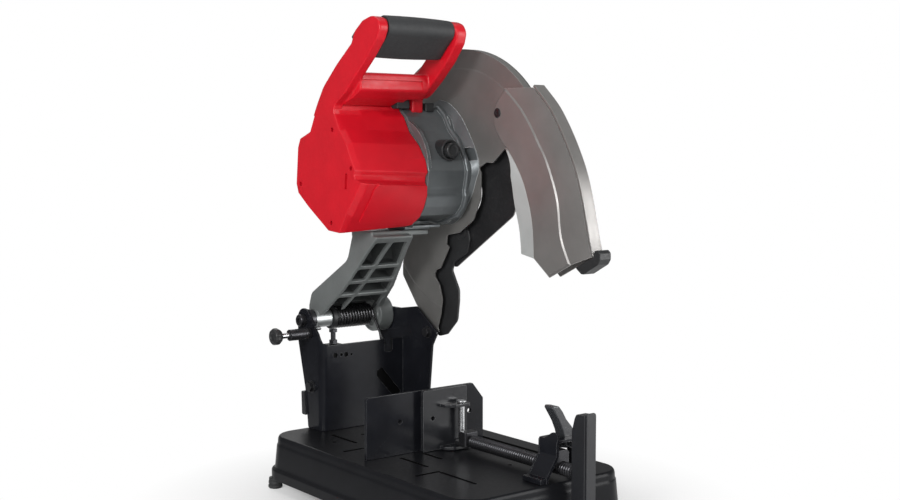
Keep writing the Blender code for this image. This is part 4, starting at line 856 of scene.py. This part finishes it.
end_ring = [p if i < 3 or i > 12 else scaled([p], HC, 0.925)[0] for i, p in enumerate(section(-92.0))]
house = skin([shape(end_ring, -100.0), shape(section(-92.0), -92.0), shape(section(-60.0), -60.0),
              shape(section(-28.0), -28.0), shape(section(2.7), 2.7)])
edges(house, 1.5, 3, 9)
panel_rows = []
for x in (-86.0, -80.0, -60.0, -40.0, -20.0, 1.8):
    s = section(x)[9:14]
    out = shifted(s, -1.7)
    inn = shifted(s, 3.0)
    panel_rows.append([(x, *p) for p in out] + [(x, *p) for p in reversed(inn)])
panel = skin(panel_rows)
T, N = Vector((0.62, -0.785)), Vector((-0.785, -0.62))
frame_pts = fillet([(-80.0, -2.5, 12.0), (10.0, -2.5, 0.0), (10.0, 66.0, 0.0), (-80.0, 66.0, 5.0)], 4.0, 8)
c0 = Vector((31.0, 352.0))
mask = skin([[(x, c0.x + T.x * t + N.x * d, c0.y + T.y * t + N.y * d) for x, t in frame_pts] for d in (-60.0, 40.0)])
keep(panel, mask)
edges(panel, 0.8, 3, 40)
join(house, panel)
holes = ((102.0, 423.0), (58.0, 373.0), (183.0, 350.0), (106.0, 300.0))
for y, z in holes:
    cut(house, lathe("X", (y, z), [(-110.0, 3.2), (-93.0, 3.2)], 28))
cut(house, slab("X", fillet([(66.0, 366.0), (71.5, 366.0), (73.0, 345.0), (67.5, 345.0)], 2.0), -110.0, -96.5, 0.4))
cav = skin([shape(scaled(section(-92.0), HC, 0.86), -95.5), shape(scaled(section(-60.0), HC, 0.90), -60.0),
            shape(scaled(section(-28.0), HC, 0.90), -28.0), shape(scaled(section(2.7), HC, 0.90), -1.5)])
cut(house, cav, lathe("X", (92.29, 364.72), [(-14.0, 14.2), (8.0, 14.2)], 40))
dress(house, "motor_shell", RED, "head", ("motor_housing", "end_cap"), sharp=28.0)
for k, (y, z) in enumerate(holes):
    s = lathe("X", (y, z), [(-93.6, 1.2), (-94.4, 1.3), (-94.4, 2.4), (-93.8, 2.9), (-92.0, 2.9)], 28, 0.2)
    dress(s, "shell_screw_%d" % (k + 1), DARK, "head")

dock = block((-84.0, -14.0), (186.0, 201.0), (343.0, 413.0), 1.2, 3)
for x in (-84.0, -20.0):
    lip = x < -50
    join(dock, slab("Z", fillet([(x, 199.0), (x + 6.0, 199.0), (x + 6.0, 204.0), (x + (10.0 if lip else 6.0), 204.0),
                                 (x + (10.0 if lip else 6.0), 207.0), (x - (0.0 if lip else 4.0), 207.0),
                                 (x - (0.0 if lip else 4.0), 204.0), (x, 204.0)], 0.5, 3), 343.2, 412.8, 0.5))
term = block((-62.0, -36.0), (199.0, 208.0), (352.0, 384.0), 0.8)
join(dock, term)
for x in (-57.0, -49.0, -41.0):
    cut(dock, block((x - 1.0, x + 1.0), (203.0, 212.0), (358.0, 390.0), 0.1, 1))
dress(dock, "battery_rails", PLASTIC, "head", "battery_dock")

# ---------------------------------------------------------------- handle
post = [(150.0, 441.0, 0.5), (141.0, 456.0, 30.0), (124.0, 480.0, 30.0), (91.0, 508.0, 30.0), (56.0, 533.0, 8.0), (48.0, 548.0, 12.0), (30.0, 560.0, 14.0),
        (10.0, 564.6, 14.0), (-3.5, 560.0, 12.0), (-10.5, 549.0, 12.0), (-2.0, 534.0, 14.0), (21.0, 512.0, 20.0), (49.0, 489.0, 20.0),
        (71.0, 470.5, 20.0), (96.0, 456.0, 6.0), (101.0, 441.0, 0.5)]
right_post = [(124.0, 467.0, 1.0), (124.0, 480.0, 6.0), (104.0, 496.5, 4.0), (86.0, 500.0, 14.0), (77.0, 503.0, 14.0), (54.0, 523.0, 10.0), (48.0, 548.0, 12.0),
              (30.0, 560.0, 14.0), (10.0, 564.6, 14.0), (-3.5, 560.0, 12.0), (-10.5, 549.0, 12.0), (-6.0, 534.0, 12.0), (14.0, 511.0, 20.0),
              (42.0, 487.0, 20.0), (66.0, 470.0, 10.0), (76.0, 466.0, 6.0)]
bar = [(141.0, 455.3, 0.5), (124.0, 480.0, 10.0), (104.0, 496.5, 5.0), (57.0, 497.0, 2.5), (53.6, 495.0, 2.0), (52.6, 486.0, 2.0), (53.0, 474.5, 2.0),
       (57.0, 471.5, 2.0), (71.0, 464.0, 2.0)]


def gf(s, t):
    return (GRIP[0] + LEAN[0] * s + LEAN[1] * t, GRIP[1] + LEAN[1] * s - LEAN[0] * t)


def grip_block(x0, x1, s0, s1, t, w=0.0, seg=3):
    ob = prism("X", [gf(s0, -t), gf(s1, -t), gf(s1, t), gf(s0, t)], x0, x1)
    return edges(ob, w, seg, 40) if w else ob


def oval(d):
    """Long oval of the grip, d inside its surface: round above, squarer below."""
    r = 15.0 - d
    top = [(12.0 + r * math.cos(math.radians(a)), r * math.sin(math.radians(a))) for a in range(-90, 91, 9)]
    low = fillet([(5.0, r, 0.0), (-30.0 + d, r, 7.0 - d), (-30.0 + d, -r, 4.5 - d), (5.0, -r, 0.0)], 3.0, 6, closed=False)
    return [gf(a, b) for a, b in top + low]


handle = slab("X", fillet(post, 4.0), -100.05, -86.0, 6.2, 6, 40)
right = slab("X", fillet(right_post, 4.0), 22.0, 38.0, 6.4, 6, 40)
pile(handle, prism("X", fillet(bar + [(96.0, 455.3, 0.5)], 1.0, 3), -88.0, 2.0), prism("X", fillet(bar[1:] + [(124.0, 464.0, 0.5)], 1.0, 3), 0.0, 24.0),
     right, prism("X", oval(4.0), -88.0, 24.0), block((18.0, 36.5), (84.0, 112.0), (446.5, 469.0), 1.5, 3))
remesh(handle, 1.1, 14)
cut(handle, grip_block(-64.0, -4.0, -40.0, 9.0, 7.6))
cut(handle, prism("X", [gf(-34.0, 5.0), gf(-22.0, 5.0), gf(-22.0, 40.0), gf(-34.0, 40.0)], -98.0, -90.0))
hollow = prism("X", fillet([(48.0, 488.0), (55.4, 487.4, 0.6), (52.9, 475.4, 0.6), (48.0, 475.4)], 0.0, 3), -85.0, 12.0)
cut(handle, edges(hollow, 0.5, 2, 40))
dress(handle, "handle_frame", RED, "head", "handle", sharp=40.0, weighted=False)
grip = skin([[(x, *p) for p in scaled(oval(d), gf(-1.5, 0.0), f)] for x, d, f in
             ((-84.0, 1.0, 0.985), (-83.2, 0.2, 0.985), (-80.0, 0.0, 0.985), (-60.0, 0.0, 0.996), (-40.0, 0.0, 1.0), (-20.0, 0.0, 0.99), (0.0, 0.0, 0.968),
              (16.0, 0.0, 0.94), (19.7, 0.2, 0.932), (20.5, 1.0, 0.932))])
cut(grip, prism("X", scaled(oval(3.6), gf(-1.5, 0.0), 1.0), -90.0, 30.0), grip_block(-64.0, -4.0, -40.0, 0.0, 7.6))
dress(grip, "grip_sleeve", RUBBER, "head", "grip_cover", sharp=40.0)
dress(grip_block(-63.0, -5.0, -33.5, -9.0, 7.0, 2.6, 4), "trigger_paddle_cap", PLASTIC, "trigger_paddle", "trigger")
lo = prism("X", [gf(-33.4, 14.0), gf(-22.6, 14.0), gf(-22.6, 28.5), gf(-33.4, 28.5)], -97.4, -90.6)
dress(edges(lo, 1.3, 3, 40), "lock_off_cap", PLASTIC, "lock_off", "lock_off_button")
dress(block((-9.0, 12.0), (82.0, 108.0), (452.0, 463.6), 1.5, 3), "handle_pad", RUBBER, "head")
dress(block((42.0, 57.0), (86.0, 108.0), (448.0, 461.0), 2.0, 3), "case_plug", PLASTIC, "head")


# ---------------------------------------------------------------- guards
def gp(a, r):
    t = math.radians(a)
    return (SPN[0] - r * math.cos(t), SPN[1] + r * math.sin(t))


STEPS = 78
rim_line = [gp(42.0 + 156.0 * k / STEPS, 195.0) for k in range(STEPS + 1)]
lower = fillet([rim_line[-1] + (0.0,), (200.0, 300.0, 2.0), (161.0, 288.0, 4.0), (190.0, 240.0, 5.0), (196.0, 227.0, 6.0), (196.0, 212.0, 10.0),
                (162.0, 171.0, 12.0), (140.0, 154.0, 10.0), (106.0, 135.0, 2.0), (111.0, 143.0, 4.0), (104.0, 162.0, 15.0), (99.0, 184.0, 15.0),
                (106.0, 205.0, 10.0), (118.0, 218.0, 4.0), (113.0, 226.0, 4.0), (104.0, 229.0, 4.0), (83.0, 261.0, 3.0), (90.0, 264.0, 3.0),
                (88.0, 277.0, 4.0), (60.0, 282.0, 8.0), (30.0, 300.0, 12.0), (14.0, 330.0, 12.0), (13.0, 366.0, 3.0), (18.0, 372.0, 3.0),
                (9.0, 376.0, 3.0), (1.0, 380.0, 3.0), (-12.0, 379.0, 4.0), (-39.0, 400.0, 3.0), rim_line[0] + (0.0,)], 3.0, 4, closed=False)
wall = rim_line[:-1] + lower[:-1]
guard = slab("X", wall, 81.3, 82.4, 0.25, 1)
inner_zone = prism("X", wall, 80.2, 82.0)
keep(inner_zone, lathe("X", SPN, [(78.0, 163.0), (80.2, 167.6), (80.5, 168.6), (81.6, 171.4), (84.0, 177.0)], 160))
join(guard, inner_zone)


def sweep(prof, a0, a1, n):
    """Profile of (x, radius) carried round the spindle between two angles."""
    rows = []
    for k in range(n + 1):
        a = a0 + (a1 - a0) * k / n
        rows.append([(x, *gp(a, r)) for x, r in prof])
    return skin(rows)


band = sweep(fillet([(81.3, 191.6, 0.3), (81.3, 195.0, 1.3), (93.5, 195.0, 0.7), (93.5, 192.6, 0.4), (82.4, 192.6, 0.4), (82.4, 191.6, 0.2)], 0.4, 4),
             42.0, 198.0, 104)
join(guard, band)
cut(guard, lathe("X", SPN, [(70.0, 20.0), (90.0, 20.0)], 48), lathe("X", VIS, [(78.0, 2.8), (84.0, 2.8)], 24))
dress(guard, "wheel_guard", SILVER, "head", ("upper_guard", "guard_rim"), sharp=26.0)

cover_low = fillet([rim_line[-1] + (0.0,), (200.0, 300.0, 3.0), (150.0, 262.0, 20.0), (120.0, 240.0, 10.0), (84.0, 231.0, 8.0), (-39.0, 309.0, 16.0),
                    (-68.0, 380.0, 10.0), rim_line[0] + (0.0,)], 3.0, 6, closed=False)
cwall = rim_line[:-1] + cover_low[:-1]
cover = slab("X", cwall, 93.8, 94.8, 0.3, 1)
zone = prism("X", cwall, 94.0, 95.8)
keep(zone, lathe("X", SPN, [(92.0, 178.0), (94.6, 171.4), (95.5, 168.6), (95.8, 167.6), (97.0, 165.0)], 160))
join(cover, zone, ring("X", SPN, 94.2, 95.8, 36.0, 46.0, 64, 0.6))
cut(cover, lathe("X", SPN, [(85.0, 38.0), (110.0, 38.0)], 64), lathe("X", VIS, [(92.0, 2.8), (98.0, 2.8)], 24))
for k in range(5):
    a = math.radians(50 + 32 * k)
    c = (SPN[0] - 120.0 * math.cos(a), SPN[1] + 120.0 * math.sin(a))
    u = Vector((-math.cos(a), math.sin(a)))
    pts = capsule(c[0] - u.x * 34, c[1] - u.y * 34, c[0] + u.x * 34, c[1] + u.y * 34, 9.0)
    cut(cover, slab("X", pts, 95.1, 99.0, 0.3, 1))
# Faces looking inward (-X) get the dark inner colour: painted shade inside the guard over the cover's dark paint.
dress(cover, "guard_cover", [SILVER, INNER_DARK_AND_SHADE], "head", "guard_side_cover", sharp=26.0,
      paint=lambda p: 1 if p.normal.x < -0.5 else 0)
for k, ang in enumerate((86.0, 120.0, 154.0, 186.0)):
    y, z = gp(ang, 182.0)
    s = lathe("X", (y, z), [(94.7, 5.2), (95.6, 5.2), (96.6, 4.6), (97.3, 3.4), (97.3, 2.1), (96.0, 2.0)], 28, 0.3)
    dress(s, "cover_screw_%d" % (k + 1), BRIGHT, "head")

defl = slab("X", fillet([(52.0, 284.0, 8.0), (49.0, 272.0, 8.0), (55.0, 253.0, 10.0), (83.0, 239.0, 8.0), (90.0, 227.0, 6.0), (74.0, 200.0, 14.0),
                         (74.0, 185.0, 14.0), (78.0, 156.0, 14.0), (101.0, 134.0, 10.0), (120.0, 129.0, 8.0), (150.0, 152.0, 20.0), (182.0, 205.0, 14.0),
                         (180.0, 226.0, 10.0), (120.0, 255.0, 14.0), (92.0, 288.0, 12.0), (70.0, 298.0, 12.0)], 6.0), 90.0, 93.5, 0.9, 3)
join(defl, ring("X", (69.0, 283.0), 88.6, 91.0, 4.0, 12.0, 40, 0.8))
dress(defl, "spark_flap", PLASTIC, "head", "spark_deflector")
b = hexagon("X", (69.0, 283.0), 89.6, 86.6, 5.5)
dress(b, "flap_bolt", DARK, "head")

# ---------------------------------------------------------------- visor
def evened(line, n):
    """The same line with n + 1 points at even spacing."""
    q = [Vector(p) for p in line]
    acc = [0.0]
    for a, b in zip(q, q[1:]):
        acc.append(acc[-1] + (b - a).length)
    out = []
    j = 0
    for k in range(n + 1):
        d = acc[-1] * k / n
        while j < len(q) - 2 and acc[j + 1] < d:
            j += 1
        f = (d - acc[j]) / max(1e-9, acc[j + 1] - acc[j])
        out.append(tuple(q[j].lerp(q[j + 1], min(1.0, f))))
    return out


NV = 44
VR = evened(spline([(-95.0, 480.0), (-122.0, 455.5), (-138.0, 436.0), (-154.0, 412.0), (-168.0, 387.0), (-178.0, 365.0), (-186.5, 339.0),
                    (-193.5, 312.0), (-199.5, 288.0), (-206.0, 267.0)], 8), NV)
L1 = evened(spline([(-42.0, 477.0), (-68.0, 456.0), (-90.0, 432.0), (-109.0, 405.0), (-125.0, 381.0), (-144.0, 336.0), (-152.0, 287.0),
                    (-168.0, 254.0)], 8), NV)
L2 = evened(spline([(-43.0, 399.0), (-64.0, 374.0), (-80.0, 347.0), (-94.0, 304.0), (-98.0, 257.0)], 9), 36)
L3 = evened(spline([(-46.0, 399.0), (-60.0, 362.0), (-68.0, 327.0), (-78.0, 293.0), (-82.0, 262.0)], 9), 36)
EAR = spline([(-43.0, 399.0), (-33.0, 408.0), (-22.0, 423.0), (-18.0, 440.0), (-22.0, 456.0), (-34.0, 470.0), (-42.0, 477.0)], 6)
zone_pts = L1 + [(-128.0, 234.6)] + list(reversed(L2)) + EAR[1:-1]


def mir(x, left):
    return x if left else 2 * WX - x


visor = slab("X", VR + list(reversed(shifted(VR, 3.4))), 79.0, 97.0, 0.9, 3, 40)
join(visor, prism("X", shifted(VR, 1.2) + list(reversed(shifted(VR, 2.6))), 81.4, 94.6))
for left in (True, False):
    crown = []
    for a, b, c in zip(L1, shifted(VR, 5.0), shifted(VR, 2.0)):
        a, b, c = Vector(a), Vector(b), Vector(c)
        a = a + (a - b).normalized() * 3.0
        face = [(77.3 + 2.9 * t * t, a.lerp(b, t)) for t in (0.0, 0.2, 0.4, 0.6, 0.75, 0.88, 1.0)]
        ringp = [(x, q.x, q.y) for x, q in face] + [(81.6, b.x, b.y), (81.6, c.x, c.y), (82.6, c.x, c.y)]
        ringp += [(x + 1.6, q.x, q.y) for x, q in reversed(face)]
        crown.append([(mir(x, left), y, z) for x, y, z in ringp])
    p3 = edges(skin([[(mir(x, left), y, z) for y, z in grown(zone_pts, g)] for x, g in ((75.7, -2.6), (77.9, 0.0), (79.4, 0.0))]), 0.5, 2, 30)
    join(visor, skin(crown), p3)
    rows = []
    for (y0, z0), (y1, z1), k in zip(L2, L3, range(len(L2))):
        f = min(1.0, k / 10.0)
        x_out = 76.2 - 4.6 * f
        d = Vector((y1 - y0, z1 - z0)) * f
        y1, z1 = y0 + d.x + 1.5, z0 + d.y
        rows.append([(mir(76.4, left), y0 - 2.0, z0), (mir(77.8, left), y0 - 2.0, z0), (mir(x_out + 1.1, left), y1, z1), (mir(x_out, left), y1, z1)])
    join(visor, edges(skin(rows), 0.3, 2, 40))
for x in (79.0, 97.0):
    cut(visor, lathe("X", VIS, [(x - 6.0, 4.3), (x + 6.0, 4.3)], 28))
# Painted light: flare faces turned towards the light get the much lighter visor colour.
dress(visor, "visor_shell", [VISORM, VISOR_FLARE_LIT], "visor", "lower_guard", sharp=26.0,
      paint=lambda p: 1 if p.center.x / MM - 4.0 < 76.3 and p.center.y / MM > -100.0 and p.center.z / MM - 75.0 < 396.0 and -0.985 < p.normal.x < -0.5
      else 0)

for tag, s in (("left", 1.0), ("right", -1.0)):
    prof = [(74.9, 2.0), (74.4, 2.2), (74.2, 4.6), (74.9, 6.4), (75.5, 6.5), (75.6, 4.0), (79.9, 4.0), (79.9, 2.5), (82.4, 2.5)]
    c = lathe("X", VIS, [(mir(a, s > 0), r) for a, r in prof], 32, 0.2)
    dress(c, "visor_screw_" + tag, DARK, "head", "visor_pivot_" + tag)

bump = slab("X", fillet([(-174.0, 250.9, 2.0), (-185.0, 243.5, 3.0), (-189.0, 243.5, 3.0), (-214.0, 257.0, 4.0), (-218.0, 263.0, 4.0), (-218.0, 271.0, 4.0),
                         (-214.0, 275.0, 3.0), (-208.5, 274.0, 2.0), (-206.5, 266.3, 1.0)], 2.0), 78.4, 97.6, 2.0, 4)
dress(bump, "visor_tip_bumper", PLASTIC, "visor", "visor_bumper")

# ---------------------------------------------------------------- carried-over pieces
slot_of = {s["node"]: s["material_slot"] for s in frame["record"]["subparts"]}
for name, ob in nodes.items():
    if ob.hide_render:
        continue
    m = SLOT_MAT[slot_of[name]]
    ob.data.materials.clear()
    ob.data.materials.append(m)

# ---------------------------------------------------------------- stage
bm = bmesh.new()
rows = [[bm.verts.new((0.4 * i, 0.4 * j, -0.0002)) for i in range(-24, 25)] for j in range(-24, 25)]
for p, q in zip(rows, rows[1:]):
    for i in range(48):
        bm.faces.new((p[i], p[i + 1], q[i + 1], q[i]))
floor = link("studio_floor", bm)
fm, ft, fb = nodes_of("pale_floor")
fco = ft.nodes.new("ShaderNodeTexCoord").outputs["Object"]
ft.links.new(mixed(ft, noise(ft, fco, 3.0, 3.0), (0.90, 0.90, 0.90), (0.93, 0.93, 0.93)), fb.inputs["Base Color"])
ft.links.new(span(ft, noise(ft, fco, 40.0), 0.75, 0.85), fb.inputs["Roughness"])
fb.inputs["Specular IOR Level"].default_value = 0.1
far = ft.nodes.new("ShaderNodeVectorMath")
far.operation = "LENGTH"
ft.links.new(fco, far.inputs[0])
glow = ft.nodes.new("ShaderNodeEmission")
glow.inputs["Color"].default_value = (1.0, 1.0, 1.0, 1.0)
glow.inputs["Strength"].default_value = 1.0
fmix = ft.nodes.new("ShaderNodeMixShader")
seen = ft.nodes.new("ShaderNodeLightPath")
shine = ft.nodes.new("ShaderNodeMath")
shine.operation = "MULTIPLY"
ft.links.new(span(ft, far.outputs["Value"], 0.0, 1.0, 0.12, 0.42), shine.inputs[0])
ft.links.new(seen.outputs["Is Camera Ray"], shine.inputs[1])
ft.links.new(shine.outputs["Value"], fmix.inputs["Fac"])
ft.links.new(fb.outputs["BSDF"], fmix.inputs[1])
ft.links.new(glow.outputs["Emission"], fmix.inputs[2])
# painted dark reflection: a dark sheet on the floor at the left, seen by glossy rays only
sheet = ft.nodes.new("ShaderNodeBsdfDiffuse")
sheet.inputs["Color"].default_value = (0.02, 0.02, 0.02, 1.0)
side = ft.nodes.new("ShaderNodeSeparateXYZ")
ft.links.new(fco, side.inputs["Vector"])
dark_reflection_fac = ft.nodes.new("ShaderNodeMath")
dark_reflection_fac.operation = "MULTIPLY"
ft.links.new(span(ft, side.outputs["X"], 0.92, 0.0, -0.50, -0.16), dark_reflection_fac.inputs[0])
ft.links.new(seen.outputs["Is Glossy Ray"], dark_reflection_fac.inputs[1])
painted_dark_reflection = ft.nodes.new("ShaderNodeMixShader")
ft.links.new(dark_reflection_fac.outputs["Value"], painted_dark_reflection.inputs["Fac"])
ft.links.new(fmix.outputs["Shader"], painted_dark_reflection.inputs[1])
ft.links.new(sheet.outputs["BSDF"], painted_dark_reflection.inputs[2])
ft.links.new(painted_dark_reflection.outputs["Shader"], ft.nodes["Material Output"].inputs["Surface"])
floor.data.materials.append(fm)

cam = bpy.data.cameras.new("camera")
cam.lens = 50.21
cam.sensor_width = 36.0
cam.sensor_fit = "HORIZONTAL"
co = bpy.data.objects.new("camera", cam)
co.location = (-0.9909, -1.3050, 0.475)
co.rotation_euler = (math.radians(85.32), 0.0, math.radians(-37.8))
bpy.context.scene.collection.objects.link(co)
bpy.context.scene.camera = co


def lamp(name, where, target, size, power, size_y=None):
    d = bpy.data.lights.new(name, "AREA")
    d.shape = "RECTANGLE"
    d.size = size
    d.size_y = size_y or size
    d.energy = power
    o = bpy.data.objects.new(name, d)
    o.location = where
    o.rotation_euler = (Vector(where) - Vector(target)).to_track_quat("Z", "Y").to_euler()
    bpy.context.scene.collection.objects.link(o)
    return o


mid = (0.0, 0.0, 0.33)
lamp("key", (-2.0, -0.9, 1.05), mid, 0.8, 38.0)
lamp("front", (-1.25, -1.45, 0.68), mid, 0.10, 9.0, 1.2)
lamp("front_right", (1.45, -1.9, 0.70), mid, 0.9, 34.0, 1.3)
lamp("top", (0.1, 0.1, 2.4), mid, 1.6, 13.0)
lamp("rear", (0.9, 2.2, 1.5), mid, 1.2, 9.0)

world = bpy.data.worlds.new("studio")
bpy.context.scene.world = world
world.use_nodes = True
wt = world.node_tree
bg = wt.nodes["Background"]
bg.inputs["Color"].default_value = (1.0, 1.0, 1.0, 1.0)
bg.inputs["Strength"].default_value = 0.24
white = wt.nodes.new("ShaderNodeBackground")
white.inputs["Color"].default_value = (1.0, 1.0, 1.0, 1.0)
white.inputs["Strength"].default_value = 1.0
lp = wt.nodes.new("ShaderNodeLightPath")
mx = wt.nodes.new("ShaderNodeMixShader")
wt.links.new(lp.outputs["Is Camera Ray"], mx.inputs["Fac"])
wt.links.new(bg.outputs["Background"], mx.inputs[1])
wt.links.new(white.outputs["Background"], mx.inputs[2])
wt.links.new(mx.outputs["Shader"], wt.nodes["World Output"].inputs["Surface"])

bpy.context.scene.view_settings.view_transform = "Standard"
bpy.context.scene.view_settings.look = "None"
